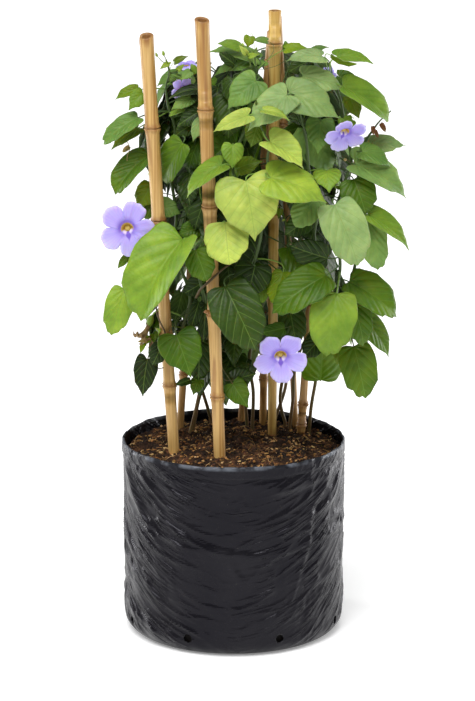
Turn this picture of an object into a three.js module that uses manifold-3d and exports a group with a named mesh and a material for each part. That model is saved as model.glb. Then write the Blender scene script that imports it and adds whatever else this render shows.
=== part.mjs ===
import * as THREE from 'three';
import { mergeVertices } from 'three/addons/utils/BufferGeometryUtils.js';
import Module from 'manifold-3d';

// A blue trumpet vine (thunbergia) in a black grow bag, trained up eight bamboo canes.
// Millimetres, +Z up, -Y towards the viewer, the origin in the middle of the bag's base on the floor.

const wasm = await Module();
wasm.setup();

// Driving dimensions
const GAP = 0.3;
const BAG_RADIUS = 138.5;
const BAG_HEIGHT = 248;
const BAG_CORNER = 21;
const FILM = 1.2;
const HEM_HEIGHT = 15;
const HEM_FOLD = 1.6;
const BAG_SIDES = 44;
const DRAIN_RADIUS = 5.5;
const DRAIN_HEIGHT = 21.5;
const DRAIN_AZIMUTHS = [24.5, 68, 112, 155.5];
const SOIL_EDGE = 231;
const SOIL_CROWN = 12;
const SOIL_GAP = 0.8;
const CANE_BOTTOM = 62;
const CANE_SIDES = 9;
const CANE_RING = 1.1;
const CANE_BORE = 0.62;
const CANE_BORE_DEPTH = 30;
const STEM_RADIUS = 2.1;
const STALK_RADIUS = 1;
const ROOT_DEPTH = 20;
const BLADE = 0.8;
const BLADE_BEND = 0.7;
const FLOWER_RADIUS = 35;
const THROAT_RADIUS = 14;
const TUBE_RADIUS = 3.2;
const TUBE_LENGTH = 26;
const CANOPY = { x: 25, y: 10, width: 112, depth: 108, low: 390, high: 735 };
const FILL_LEAVES = 44;
const FILL_SWEEP = 1.55 * Math.PI;
const FILL_FRONT = -35;

const COLOURS = {
  film: 0x2b2a2e,
  soil: 0x3a2415,
  bamboo: 0xdcbc80,
  yellowBamboo: 0xe2c26c,
  leaf: 0x5e8f3a,
  petal: 0xb5a5ee,
  dryPetal: 0x8a6a48,
};

const radians = THREE.MathUtils.degToRad;

// A repeatable sequence of numbers between 0 and 1.
function seeded(seed) {
  let state = seed;
  return () => {
    state = (state * 1664525 + 1013904223) % 4294967296;
    return state / 4294967296;
  };
}

// Shapes

function latheOf(profile, sides) {
  const points = profile.map(([r, z]) => new THREE.Vector2(r, z));
  return new THREE.LatheGeometry(points, sides).rotateX(Math.PI / 2);
}

function movedBy(geometry, move) {
  const places = geometry.getAttribute('position');
  const p = new THREE.Vector3();
  for (let i = 0; i < places.count; i++) {
    move(p.fromBufferAttribute(places, i));
    places.setXYZ(i, p.x, p.y, p.z);
  }
  return geometry;
}

function tubeAlong(curve, radius, sides, steps) {
  const shape = new THREE.Shape();
  for (let i = 0; i < sides; i++) {
    const turn = (2 * Math.PI * i) / sides;
    const [x, y] = [radius * Math.cos(turn), radius * Math.sin(turn)];
    if (i === 0) shape.moveTo(x, y);
    else shape.lineTo(x, y);
  }
  shape.closePath();
  return new THREE.ExtrudeGeometry(shape, { steps, bevelEnabled: false, extrudePath: curve });
}

function solidOf(geometry) {
  const plain = geometry.clone();
  plain.deleteAttribute('normal');
  plain.deleteAttribute('uv');
  const merged = mergeVertices(plain, 1e-3);
  const vertProperties = merged.getAttribute('position').array;
  const triVerts = new Uint32Array(merged.index.array);
  return new wasm.Manifold(new wasm.Mesh({ numProp: 3, vertProperties, triVerts }));
}

function geometryOf(solid) {
  const { vertProperties, triVerts } = solid.getMesh();
  const geometry = new THREE.BufferGeometry();
  geometry.setAttribute('position', new THREE.BufferAttribute(vertProperties, 3));
  geometry.setIndex(new THREE.BufferAttribute(triVerts, 1));
  return geometry;
}

// Grow bag: a thin film with a rounded bottom edge, a folded hem and eight drain holes.

const innerRadius = BAG_RADIUS - FILM;

function filmPush(angle, z) {
  const rise = THREE.MathUtils.smoothstep(z, BAG_CORNER, 90);
  const fall = 1 - THREE.MathUtils.smoothstep(z, 190, BAG_HEIGHT);
  const flare = 0.5 * THREE.MathUtils.smoothstep(z, 120, BAG_HEIGHT - HEM_HEIGHT);
  const folds = 0.8 * Math.sin(3 * angle + 1.1 + z / 90) + 0.5 * Math.sin(7 * angle - z / 55);
  return flare + rise * (0.35 + 0.65 * fall) * folds;
}

function pushed(geometry) {
  return movedBy(geometry, (p) => {
    const radius = Math.hypot(p.x, p.y);
    if (radius < BAG_RADIUS - BAG_CORNER) return;
    const scale = 1 + filmPush(Math.atan2(p.y, p.x), p.z) / radius;
    p.x *= scale;
    p.y *= scale;
  });
}

function cornerArc(radius, floor) {
  const centre = BAG_RADIUS - BAG_CORNER;
  return [0, 30, 60, 90].map((turn) => [
    centre + (radius - centre) * Math.sin(radians(turn)),
    BAG_CORNER - (BAG_CORNER - floor) * Math.cos(radians(turn)),
  ]);
}

function growBag() {
  const hemFoot = BAG_HEIGHT - HEM_HEIGHT;
  const outer = BAG_RADIUS + HEM_FOLD;
  const profile = [
    [0, 0],
    ...cornerArc(BAG_RADIUS, 0),
    [BAG_RADIUS, 125],
    [BAG_RADIUS, hemFoot - 1],
    [outer, hemFoot + 1],
    [outer, BAG_HEIGHT - 1],
    [innerRadius + 0.8, BAG_HEIGHT],
    [innerRadius, BAG_HEIGHT - 2],
    [innerRadius, hemFoot - 1],
    [innerRadius, 125],
    ...cornerArc(innerRadius, FILM).reverse(),
    [0, FILM],
  ];
  let bag = solidOf(pushed(latheOf(profile, BAG_SIDES)));
  for (const side of [-1, 1]) {
    for (const azimuth of DRAIN_AZIMUTHS) {
      const drill = new THREE.CylinderGeometry(DRAIN_RADIUS, DRAIN_RADIUS, 30, 7);
      drill.translate(0, -BAG_RADIUS, 0).rotateZ(radians(side * azimuth));
      drill.translate(0, 0, DRAIN_HEIGHT);
      bag = bag.subtract(solidOf(drill));
    }
  }
  return bag;
}

// Soil: it fills the bag to just below the rim, heaped a little in the middle.

function soilHeight(x, y) {
  const radius = Math.hypot(x, y) / innerRadius;
  const heap = SOIL_CROWN * (1 - radius * radius);
  const lumps = 1.6 * Math.sin(x / 9 + 1) * Math.cos(y / 8) + 1.2 * Math.sin(y / 17 + x / 23);
  return SOIL_EDGE + heap + lumps * (1 - radius ** 4);
}

function soilBlock() {
  const side = innerRadius - SOIL_GAP;
  const rings = [0.86, 0.6, 0.3, 0].map((share) => [side * share, SOIL_EDGE]);
  const profile = [
    [0, FILM + GAP],
    ...cornerArc(side, FILM + GAP),
    [side, 125],
    [side, SOIL_EDGE],
    ...rings,
  ];
  return solidOf(
    movedBy(pushed(latheOf(profile, BAG_SIDES)), (p) => {
      if (p.z > SOIL_EDGE - 1) p.z = soilHeight(p.x, p.y);
    }),
  );
}

// Canes: their axes run through these points, from the soil up, with the radii at the soil and at the top,
// the heights of the node rings, and the slope of the cut top along x and y.
const CANES = [
  {
    way: [[-75, -38, 241], [-106, -44, 765]],
    radii: [7.2, 9],
    rings: [326, 389, 536, 652],
    cut: [0.1, 0.35],
  },
  {
    way: [[-17, -73, 237], [-38, -66, 788]],
    radii: [7.6, 9],
    rings: [320, 424, 559, 679],
    cut: [-0.1, 0.3],
  },
  { way: [[-69, 66, 242], [-35, 20, 742]], radii: [4.6, 5.2], rings: [315, 525], cut: [0.2, 0.2] },
  {
    way: [[49, 33, 245], [51, 26, 786]],
    radii: [5.6, 8],
    rings: [363, 530, 745],
    cut: [0, 0.05],
    yellow: true,
  },
  {
    way: [[86, 45, 240], [96, 45, 403], [109, 40, 497], [118, 36, 558]],
    radii: [5.2, 4.4],
    rings: [252, 279, 410],
    cut: [0.2, 0.2],
  },
  { way: [[10, 100, 246], [47, 62, 756]], radii: [4.6, 5.4], rings: [450, 690], cut: [0.3, 0.1] },
  { way: [[38, 100, 247], [40, 70, 474], [43, 46, 721]], radii: [5, 5], rings: [300, 545], cut: [-0.2, 0.2] },
  {
    way: [[79, 78, 246], [60, 50, 690], [55, 40, 776]],
    radii: [4.2, 4.6],
    rings: [470, 640],
    cut: [0.2, 0.1],
  },
];

// The point of a cane's axis at a height, on straight lines through its way.
function axisAt(way, z) {
  const last = way.length - 2;
  const index = Math.max(0, Math.min(last, way.findIndex((p) => p[2] > z) - 1));
  const span = z > way[last + 1][2] ? last : index;
  const [low, high] = [way[span], way[span + 1]];
  const share = (z - low[2]) / (high[2] - low[2]);
  return [low[0] + share * (high[0] - low[0]), low[1] + share * (high[1] - low[1])];
}

function alongAxis(geometry, way) {
  return movedBy(geometry, (p) => {
    const [x, y] = axisAt(way, p.z);
    p.x += x;
    p.y += y;
  });
}

function caneRadius({ way, radii }, z) {
  const [foot, top] = [way[0][2], way[way.length - 1][2]];
  return THREE.MathUtils.lerp(radii[0], radii[1], Math.max(0, (z - foot) / (top - foot)));
}

function cane(spec) {
  const top = spec.way[spec.way.length - 1][2];
  const profile = [
    [0, CANE_BOTTOM],
    [spec.radii[0], CANE_BOTTOM],
  ];
  for (const z of spec.rings) {
    const radius = caneRadius(spec, z);
    profile.push([radius, z - 5], [radius + CANE_RING, z - 1], [radius, z + 3]);
  }
  const bore = spec.radii[1] * CANE_BORE;
  profile.push([spec.radii[1], top], [bore, top], [bore, top - CANE_BORE_DEPTH], [0, top - CANE_BORE_DEPTH]);
  const straight = movedBy(latheOf(profile, CANE_SIDES), (p) => {
    if (p.z > top - 1) p.z += spec.cut[0] * p.x + spec.cut[1] * p.y;
  });
  return solidOf(alongAxis(straight, spec.way));
}

function caneHole(spec) {
  const radius = spec.radii[0] + GAP;
  const profile = [
    [0, CANE_BOTTOM - GAP],
    [radius, CANE_BOTTOM - GAP],
    [radius + 0.4, BAG_HEIGHT + 6],
    [0, BAG_HEIGHT + 6],
  ];
  return solidOf(alongAxis(latheOf(profile, CANE_SIDES), spec.way));
}

// Vines: each main stem runs through these points, from the soil up.
const VINES = [
  [
    [-52, 52, 243], [-45, 46, 282], [-38, 36, 308], [-34, 18, 341], [-33, -4, 382], [-35, -28, 421],
    [-39, -46, 451], [-45, -62, 480], [-47, -72, 505], [-36, -90, 523], [-21, -94, 533], [-5, -90, 545],
    [4, -82, 566], [5, -78, 588], [-1, -76, 606], [3, -60, 627], [15, -50, 653], [27, -40, 686],
    [29, -45, 716], [26, -30, 736],
  ],
  [
    [-29, 88, 245], [-37, 78, 276], [-43, 60, 300], [-51, 36, 328], [-60, 10, 361], [-64, -8, 389],
    [-58, -22, 413], [-54, -26, 435], [-60, -24, 457], [-70, -20, 479], [-74, -18, 507], [-71, -16, 532],
    [-74, -14, 561], [-79, -12, 593], [-76, -12, 624], [-72, -10, 646], [-80, -12, 671], [-83, -10, 696],
    [-79, -12, 714], [-83, -12, 731],
  ],
  [
    [17, 84, 246], [14, 80, 280], [12, 68, 309], [5, 46, 343], [0, 18, 376], [3, -14, 414],
    [10, -42, 444], [20, -62, 474], [30, -68, 505], [35, -78, 538], [38, -88, 571], [42, -96, 602],
    [41, -100, 625], [43, -104, 643], [34, -108, 662], [28, -110, 677],
  ],
  [
    [24, 66, 247], [25, 62, 290], [20, 50, 330], [24, 26, 373], [34, 12, 411], [50, 8, 444],
    [66, 14, 474], [68, 32, 500], [60, 50, 530], [44, 50, 560], [32, 36, 590], [34, 16, 624],
    [42, 0, 656], [52, -34, 684], [66, -74, 703],
  ],
  [
    [66, 80, 245], [60, 79, 270], [62, 72, 300], [73, 50, 351], [84, 22, 397], [98, -12, 443],
    [104, -45, 484], [99, -60, 521], [102, -66, 548], [95, -68, 580], [91, -70, 611], [88, -74, 643],
    [82, -82, 671], [78, -92, 686],
  ],
  [
    [72, 66, 245], [76, 62, 281], [77, 52, 317], [84, 30, 352], [99, 8, 384], [123, -20, 418],
    [128, -50, 452], [131, -66, 486], [127, -66, 517], [124, -72, 551], [135, -66, 586], [144, -56, 612],
    [141, -46, 635], [135, -44, 660], [131, -46, 684], [124, -50, 706], [112, -62, 722],
  ],
  [
    [97, 60, 242], [99, 55, 270], [103, 44, 300], [109, 26, 336], [125, 6, 366], [141, -14, 394],
    [149, -30, 428], [147, -42, 460], [152, -48, 490], [158, -42, 515], [160, -40, 545], [157, -40, 578],
    [150, -46, 607], [161, -44, 634], [171, -40, 649], [180, -36, 660], [193, -32, 671],
  ],
  [
    [-14, 72, 246], [-26, 84, 290], [-40, 92, 330], [-52, 94, 372], [-44, 84, 420], [-20, 84, 462],
    [-8, 92, 500], [-28, 94, 545], [-52, 80, 590], [-42, 66, 635], [-20, 64, 680], [-14, 50, 712],
  ],
  [
    [54, 104, 244], [68, 112, 290], [62, 110, 340], [66, 102, 386], [84, 96, 426], [108, 78, 466],
    [108, 68, 515], [94, 80, 560], [96, 70, 605], [110, 48, 650], [104, 26, 690], [92, 20, 716],
  ],
];

// Front leaves, as hand-placed as the viewer sees them. Each row: where the stalk meets the blade (x, y, z),
// where the tip ends (x, y, z), width over length, the turn and lift of its face in degrees, the fold of
// its halves in degrees, and the form: 0 is a young angular leaf, 1 an older egg-shaped one.
const LEAVES = [
  [15, -112, 599, 29, -124, 527, 1.02, 0, 20, 10, 0], // big lime centre
  [45, -118, 605, 115, -116, 575, 0.76, 10, 50, 8, 0], // big lime right
  [-10, -98, 545, -3, -124, 498, 1.0, -10, 15, 8, 1], // round lime
  [-62, -74, 519, -114, -104, 425, 0.76, -34, 30, 33, 1], // big left
  [-10, -96, 465, 29, -120, 391, 0.68, 0, 15, 10, 1], // dark centre
  [-70, -70, 397, -52, -84, 346, 0.92, 0, 18, 8, 0], // low left over cane
  [122, -104, 568, 151, -118, 494, 0.68, 14, 12, 14, 1], // right grey green
  [126, -96, 456, 113, -112, 380, 0.7, 0, 12, 8, 1], // lower right light
  [113, -88, 477, 48, -106, 434, 0.62, -15, 30, 14, 1], // mid right
  [142, -70, 465, 200, -72, 422, 0.7, 20, 42, 20, 1], // right shoulder
  [149, -58, 380, 164, -70, 316, 0.66, 4, 6, 6, 1], // bottom right
  [146, -76, 440, 161, -84, 387, 0.62, 20, 5, 10, 1], // behind lower right
  [162, -56, 414, 194, -50, 363, 0.54, 42, 8, 12, 0], // right edge low
  [164, -78, 542, 177, -84, 482, 0.56, 14, 10, 10, 1], // right under
  [164, -70, 552, 216, -56, 503, 0.46, 30, 50, 22, 0], // right edge mid
  [146, -80, 595, 161, -94, 554, 0.92, 12, 8, 6, 1], // right round dark
  [149, -74, 612, 214, -58, 567, 0.62, 20, 52, 24, 0], // right top long
  [113, -78, 605, 117, -104, 583, 0.95, 5, 25, 8, 0], // behind lime right
  [100, -90, 574, 74, -104, 541, 0.8, -10, 15, 10, 1], // under lime right
  [115, -72, 495, 68, -80, 513, 0.66, -10, 8, 8, 1], // dark mid right
  [91, -66, 543, 64, -74, 524, 0.8, 0, 10, 8, 1], // dark inner right
  [61, -78, 479, 50, -88, 439, 0.62, -20, 10, 10, 1], // under mid right
  [26, -80, 486, 16, -92, 445, 1.0, 0, 12, 10, 0], // mid centre
  [-134, -62, 453, -151, -70, 397, 0.58, -10, 8, 8, 1], // left hanging
  [-107, -46, 360, -114, -56, 313, 0.6, -10, 8, 10, 0], // left low
  [-87, -34, 385, -100, -40, 357, 0.7, 0, 10, 8, 1], // left low behind
  [-43, -40, 382, -44, -52, 334, 0.72, 6, 8, 8, 1], // right of low left
  [1, -50, 335, 29, -58, 346, 0.8, 0, 20, 8, 0], // low centre upper
  [-1, -54, 332, 19, -64, 303, 0.76, 0, 12, 8, 0], // low centre lower
  [110, 14, 318, 111, -10, 374, 0.78, 0, 0, 6, 1], // upright right
  [110, -40, 387, 86, -52, 364, 0.72, -10, 10, 8, 1], // dark low right
  [-119, -16, 694, -146, -16, 682, 0.62, -20, 45, 22, 0], // left top bright
  [-111, -22, 692, -129, -30, 672, 0.74, -10, 12, 8, 0], // left top
  [-117, -30, 662, -160, -42, 631, 0.5, -25, 38, 16, 1], // left upper
  [-118, -20, 647, -151, -26, 620, 0.45, -25, 30, 14, 0], // left upper behind
  [-105, -24, 612, -146, -48, 567, 0.64, -40, 18, 26, 1], // left mid dark
  [-62, -44, 633, -86, -18, 579, 0.6, -30, 12, 22, 1], // left behind cane
  [-101, -20, 577, -116, -24, 549, 0.86, -10, 10, 10, 1], // left yellow
  [-97, -16, 560, -108, -22, 532, 0.6, -10, 8, 8, 1], // left by flower
  [-15, -90, 615, -59, -92, 576, 0.66, -10, 68, 16, 0], // across cane
  [-12, -40, 627, -46, -46, 597, 0.78, 0, 10, 8, 0], // behind cane upper
  [-1, -56, 637, -2, -68, 609, 0.86, 0, 14, 10, 0], // centre small
  [7, -62, 606, 36, -66, 615, 0.74, 0, 30, 10, 0], // centre yellow
  [67, -98, 705, 130, -102, 674, 0.66, 0, 42, 8, 0], // pair right
  [64, -98, 703, 16, -106, 661, 0.66, -10, 38, 8, 0], // pair left
  [84, -70, 720, 136, -70, 701, 0.62, 5, 45, 8, 0], // behind pair right
  [132, -58, 708, 189, -44, 662, 0.6, 15, 56, 24, 1], // right top dark
  [129, -34, 713, 162, -30, 696, 0.6, 15, 45, 14, 0], // right top behind
  [126, -66, 743, 171, -56, 733, 0.6, 10, 64, 16, 0], // top right light
  [106, -68, 744, 63, -76, 740, 0.66, 0, 62, 8, 0], // top grey
  [94, -54, 736, 66, -58, 722, 0.6, 0, 25, 8, 1], // top right shade
  [26, -10, 734, -31, -16, 741, 0.6, 0, 68, 8, 0], // top flat
  [31, -22, 730, -25, -34, 713, 0.6, 0, 66, 8, 0], // top under flat
  [29, -52, 719, -5, -62, 704, 0.66, 0, 20, 8, 0], // upper dark
  [27, -46, 714, -9, -58, 681, 0.74, -15, 22, 8, 0], // upper dark lower
  [-42, -20, 697, -80, -26, 685, 0.46, 0, 60, 8, 0], // upper left flat
  [-53, -26, 685, -77, -32, 672, 0.6, 0, 35, 8, 0], // upper left mid
  [-42, -28, 669, -70, -34, 652, 0.7, 0, 25, 8, 0], // upper left dark
  [-52, -30, 652, -74, -34, 638, 0.76, 0, 20, 8, 0], // mid left dark
  [-40, -44, 660, -50, -48, 635, 0.6, -20, 15, 10, 0], // left of cane pale
  [106, -74, 666, 102, -86, 627, 0.84, 0, 12, 8, 0], // right of centre
  [157, -58, 627, 193, -52, 607, 0.66, 10, 46, 18, 0], // right green
  [164, -40, 628, 213, -34, 629, 0.6, 12, 48, 8, 0], // right pale
  [142, -52, 691, 153, -56, 664, 0.66, 0, 10, 8, 0], // right yellow
  [-44, -46, 527, -66, -52, 520, 1.0, 0, 20, 8, 1], // left mid round
  [-91, -22, 550, -64, -24, 539, 0.84, 0, 20, 8, 0], // right of left cane
  [-46, -84, 508, -32, -92, 471, 0.86, 0, 12, 8, 1], // over cane lower
  [-30, -50, 459, -61, -56, 441, 0.76, 0, 12, 8, 1], // below cane lower
  [-64, -22, 436, -74, -28, 400, 0.6, 0, 8, 8, 1], // left inner
  [-43, -42, 433, -54, -46, 397, 0.42, 0, 8, 8, 1], // inner narrow
  [70, -36, 420, 79, -44, 378, 0.76, 0, 8, 8, 1], // dark lower centre
  [63, -44, 401, 34, -50, 396, 0.6, 0, 15, 8, 1], // above flower
  [17, -112, 680, -25, -118, 660, 0.46, -15, 30, 16, 0], // lime small left
  [37, -116, 688, 68, -120, 676, 0.5, 0, 66, 14, 0], // lime small right
  [44, -112, 647, 86, -120, 616, 0.84, 22, 42, 32, 0], // lime lower right
  [28, -108, 663, 21, -114, 638, 0.95, 0, 12, 12, 0], // lime folded
];

// Flowers: throat centre, turn and lift of the face in degrees, the spin of the lowest lobe, the size, and
// how far the lobes bend back at their edges (or forward, where it is negative).
const FLOWERS = [
  { centre: [-131, -56, 528], turn: -6, lift: 8, spin: 14, size: 1 },
  { centre: [58, -90, 374], turn: 4, lift: -13, spin: 3, size: 0.97, reflex: -4 },
  { centre: [135, -88, 653], turn: 17, lift: -37, spin: -16, size: 0.77, reflex: -8 },
  { centre: [-58, -3, 723], turn: -20, lift: 72, spin: 20, size: 0.4, sides: 15 },
  { centre: [-62, -17, 695], turn: 20, lift: -8, spin: 10, size: 0.44, sides: 15 },
];

const DRY_FLOWER = { centre: [-112, -36, 385], turn: -60, lift: -66, spin: 0, size: 0.9, sides: 15 };

// The two leaf forms: half of the outline, from the lobe by the stalk to the last shoulder before the tip,
// as shares of the width across and of the length along. A small leaf has a plainer outline.
const LEAF_FORMS = [
  [[0.26, -0.14], [0.5, -0.02], [0.5, 0.36], [0.24, 0.7]],
  [[0.22, -0.06], [0.46, 0.06], [0.5, 0.42], [0.3, 0.78]],
];
const SMALL_FORM = [[0.34, -0.08], [0.5, 0.26], [0.24, 0.68]];
const SMALL_LENGTH = 38;
const MIDRIB = 0.42;
const DEPTH_TRIES = [0, -5, 5, -10, 10, -16, 16, -23, 23, 31, 40, -31];
const STALK_TRIES = 7;
const STALK_REACH = [15, 95];
const STEM_SAMPLES = 60;

function facing(turn, lift) {
  const [t, l] = [radians(turn), radians(lift)];
  return new THREE.Vector3(Math.sin(t) * Math.cos(l), -Math.cos(t) * Math.cos(l), Math.sin(l));
}

// The leaf's own frame: along its chord, out of its face and across it.
function leafFrame([bx, by, bz, tx, ty, tz, width, turn, lift, fold, form]) {
  const base = new THREE.Vector3(bx, by, bz);
  const along = new THREE.Vector3(tx, ty, tz).sub(base);
  const chord = along.length();
  along.normalize();
  const out = facing(turn, lift);
  out.addScaledVector(along, -out.dot(along)).normalize();
  const across = new THREE.Vector3().crossVectors(along, out);
  const length = (chord * BLADE_BEND) / 2 / Math.sin(BLADE_BEND / 2);
  return { base, along, out, across, length, width, fold: radians(fold), form };
}

// A point of the arched blade: x across in widths, t along in lengths, lifted off its middle surface.
function bladePoint(leaf, x, t, lifted) {
  const angle = BLADE_BEND * (0.5 - t);
  const run = (leaf.length * (Math.sin(BLADE_BEND / 2) - Math.sin(angle))) / BLADE_BEND;
  const rise = (leaf.length * (Math.cos(angle) - Math.cos(BLADE_BEND / 2))) / BLADE_BEND;
  const normal = leaf.out.clone().multiplyScalar(Math.cos(angle));
  normal.addScaledVector(leaf.along, -Math.sin(angle));
  const side = x * leaf.width * leaf.length;
  const raised = Math.abs(side) * Math.sin(leaf.fold) - (side * side * 0.35) / leaf.length;
  return leaf.base
    .clone()
    .addScaledVector(leaf.along, run)
    .addScaledVector(leaf.out, rise)
    .addScaledVector(leaf.across, side * Math.cos(leaf.fold))
    .addScaledVector(normal, raised + lifted);
}

// The direction in which a blade sets out from its stalk.
function leafStart(leaf) {
  const start = leaf.along.clone().multiplyScalar(Math.cos(BLADE_BEND / 2));
  return start.addScaledVector(leaf.out, Math.sin(BLADE_BEND / 2));
}

// One leaf: a thin blade of the same triangles on both faces, drawn out at its base into a three-sided
// stalk that ends at its root.
function leafSolid(leaf, root, thickness, radius) {
  const half = leaf.length < SMALL_LENGTH ? SMALL_FORM : LEAF_FORMS[leaf.form];
  const neck = (0.87 * radius) / leaf.width / leaf.length;
  const mirrored = half.map(([x, t]) => [-x, t]).reverse();
  const outline = [[neck, 0], ...half, [0, 1], ...mirrored, [-neck, 0]];
  const last = outline.length - 1;
  const middle = last + 1;
  const upper = [...outline, [0, MIDRIB]].map(([x, t]) => bladePoint(leaf, x, t, thickness / 2));
  const lower = [[0, 0], ...outline.slice(1, last), [0, MIDRIB]];
  const places = [...upper, ...lower.map(([x, t]) => bladePoint(leaf, x, t, -thickness / 2))];
  const below = (i) => middle + 1 + (i === last ? 0 : Math.min(i, last));

  const right = [[0, 1, 2], [0, 2, middle]];
  for (let i = 2; i <= half.length; i++) right.push([i, i + 1, middle]);
  const mirror = (i) => (i === middle ? middle : last - i);
  const left = right.map(([a, b, c]) => [mirror(a), mirror(c), mirror(b)]);
  const faces = [last, 0, middle];
  for (const [a, b, c] of [...right, ...left]) faces.push(a, b, c, below(a), below(c), below(b));
  for (let i = 0; i < last; i++) {
    faces.push(i, below(i), i + 1, i + 1, below(i), below(i + 1));
  }

  const seat = bladePoint(leaf, 0, 0, 0);
  const bend = seat.clone().addScaledVector(leafStart(leaf), -0.45 * seat.distanceTo(root));
  const curve = new THREE.QuadraticBezierCurve3(seat, bend, root);
  const spokes = [[-0.87, 0.5], [0, -1], [0.87, 0.5]].map(([x, y]) =>
    leaf.across.clone().multiplyScalar(x * radius).addScaledVector(leaf.out, y * radius),
  );
  let heading = curve.getTangent(0);
  let ring = [last, below(0), 0];
  for (const share of [0.45, 1]) {
    const ahead = curve.getTangent(share);
    const turn = new THREE.Quaternion().setFromUnitVectors(heading, ahead);
    const next = spokes.map((spoke) => {
      places.push(spoke.applyQuaternion(turn).clone().add(curve.getPoint(share)));
      return places.length - 1;
    });
    for (let j = 0; j < 3; j++) {
      const k = (j + 1) % 3;
      faces.push(ring[j], ring[k], next[j], ring[k], next[k], next[j]);
    }
    heading = ahead;
    ring = next;
  }
  faces.push(...ring);

  const geometry = new THREE.BufferGeometry().setFromPoints(places);
  geometry.setIndex(faces);
  return solidOf(geometry);
}

// Everything placed so far, by owner, so that a new piece can be bent clear of it.
const placed = [];

function boxOf(solid) {
  const box = new THREE.Box3();
  return box.setFromBufferAttribute(geometryOf(solid).getAttribute('position'));
}

function place(owner, solid) {
  placed.push({ owner, solid, box: boxOf(solid) });
}

function clears(solid, among) {
  const box = boxOf(solid);
  return !placed.some(
    (other) =>
      among(other.owner) &&
      box.intersectsBox(other.box) &&
      solid.intersect(other.solid).getMesh().triVerts.length > 0,
  );
}

// Stems

const stemWays = VINES.map((way) => {
  const [x, y, z] = way[0];
  const points = [[x, y, z - ROOT_DEPTH], [x, y, z - 5], ...way].map((p) => new THREE.Vector3(...p));
  return new THREE.CatmullRomCurve3(points, false, 'catmullrom', 0.5);
});

const stemPoints = stemWays.flatMap((curve, vine) =>
  Array.from({ length: STEM_SAMPLES - 8 }, (_, i) => ({
    vine,
    point: curve.getPoint((i + 7) / STEM_SAMPLES),
  })),
);

function stem(curve) {
  return solidOf(tubeAlong(curve, STEM_RADIUS, 4, Math.round(curve.getLength() / 22)));
}

function rootHole(curve) {
  const root = curve.getPoint(0);
  const height = 2 * ROOT_DEPTH + 20;
  const hole = new THREE.CylinderGeometry(STEM_RADIUS + 1.6, STEM_RADIUS + 1, height, 6);
  hole.rotateX(Math.PI / 2).translate(root.x, root.y, root.z - GAP + height / 2);
  return solidOf(hole);
}

// The nearest stem points to a place, none of them neighbours of another one.
function stalkRoots(place) {
  const near = stemPoints
    .map((sample, index) => ({ ...sample, index, distance: sample.point.distanceTo(place) }))
    .filter(({ distance }) => distance > STALK_REACH[0] && distance < STALK_REACH[1])
    .sort((a, b) => a.distance - b.distance);
  const kept = [];
  for (const sample of near) {
    if (kept.every((other) => Math.abs(other.index - sample.index) > 2)) kept.push(sample);
    if (kept.length === STALK_TRIES) break;
  }
  return kept;
}

// A stalk leaves its stem and arrives along the direction in which the blade or the flower starts.
function stalkSolid(from, to, arrival, radius, sides) {
  const bend = to.clone().addScaledVector(arrival, -0.45 * from.distanceTo(to));
  const curve = new THREE.QuadraticBezierCurve3(from, bend, to);
  return solidOf(tubeAlong(curve, radius, sides, 4));
}

const vineSolids = stemWays.map(stem);
const owners = VINES.map((_, i) => `vine_${i + 1}`);

// Tries the leaf in its place and a little nearer or farther, on the nearest stems, and keeps the first
// one that is clear: its blade of everything, or at least all of it of what hangs on other stems.
function growLeaf(row, mayCross) {
  for (const strict of mayCross ? [true, false] : [true]) {
    for (const shift of DEPTH_TRIES) {
      const moved = row.slice();
      moved[1] += shift;
      moved[4] += shift;
      const leaf = leafFrame(moved);
      const stub = leaf.base.clone().addScaledVector(leafStart(leaf), -2);
      const blade = leafSolid(leaf, stub, BLADE + 4 * GAP, STALK_RADIUS);
      if (strict && !clears(blade, () => true)) continue;
      for (const { vine, point } of stalkRoots(leaf.base)) {
        const test = leafSolid(leaf, point, BLADE + 4 * GAP, STALK_RADIUS + 2 * GAP);
        if (!clears(test, (owner) => owner !== owners[vine])) continue;
        const grown = leafSolid(leaf, point, BLADE, STALK_RADIUS);
        place(owners[vine], grown);
        vineSolids[vine] = vineSolids[vine].add(grown);
        return true;
      }
    }
  }
  return false;
}

// Fill leaves hang round the sides and the back of the canes, spaced by the golden angle; none hangs farther
// forward than FILL_FRONT, where the blooms are.
function fillRow(index, random) {
  const azimuth = Math.PI + FILL_SWEEP * (((index * 0.381966) % 1) - 0.5);
  const share = (index * 0.618034 + 0.5 * random()) % 1;
  const height = CANOPY.low + share * (CANOPY.high - CANOPY.low);
  const back = 0.5 - 0.5 * Math.cos(azimuth);
  const reach = (0.55 + 0.45 * back) * (0.78 + 0.22 * random());
  const [dx, dy] = [Math.sin(azimuth), -Math.cos(azimuth)];
  const bx = CANOPY.x + dx * reach * CANOPY.width;
  const by = CANOPY.y + dy * reach * CANOPY.depth;
  const length = 55 + 34 * random();
  const outward = length * (0.25 + 0.25 * random());
  const drop = Math.sqrt(length * length - outward * outward);
  const sway = 16 * (random() - 0.5);
  const tip = [bx + dx * outward - dy * sway, by + dy * outward + dx * sway, height - drop];
  const turn = THREE.MathUtils.radToDeg(azimuth) + 40 * (random() - 0.5);
  const width = 0.7 + 0.25 * random();
  return [bx, by, height, ...tip, width, turn, 10 + 30 * random(), 9, index % 3 === 0 ? 1 : 0];
}

// Flowers: a funnel that opens into five rounded lobes, seated in a small cup at the end of its stalk.

function flowerPlace({ centre, turn, lift, spin, size }) {
  const out = facing(turn, lift);
  const right = new THREE.Vector3(Math.cos(radians(turn)), Math.sin(radians(turn)), 0);
  const up = new THREE.Vector3().crossVectors(out, right);
  const matrix = new THREE.Matrix4().makeBasis(right, up, out);
  matrix.multiply(new THREE.Matrix4().makeRotationZ(radians(spin)));
  matrix.scale(new THREE.Vector3(size, size, size));
  return matrix.setPosition(...centre);
}

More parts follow.
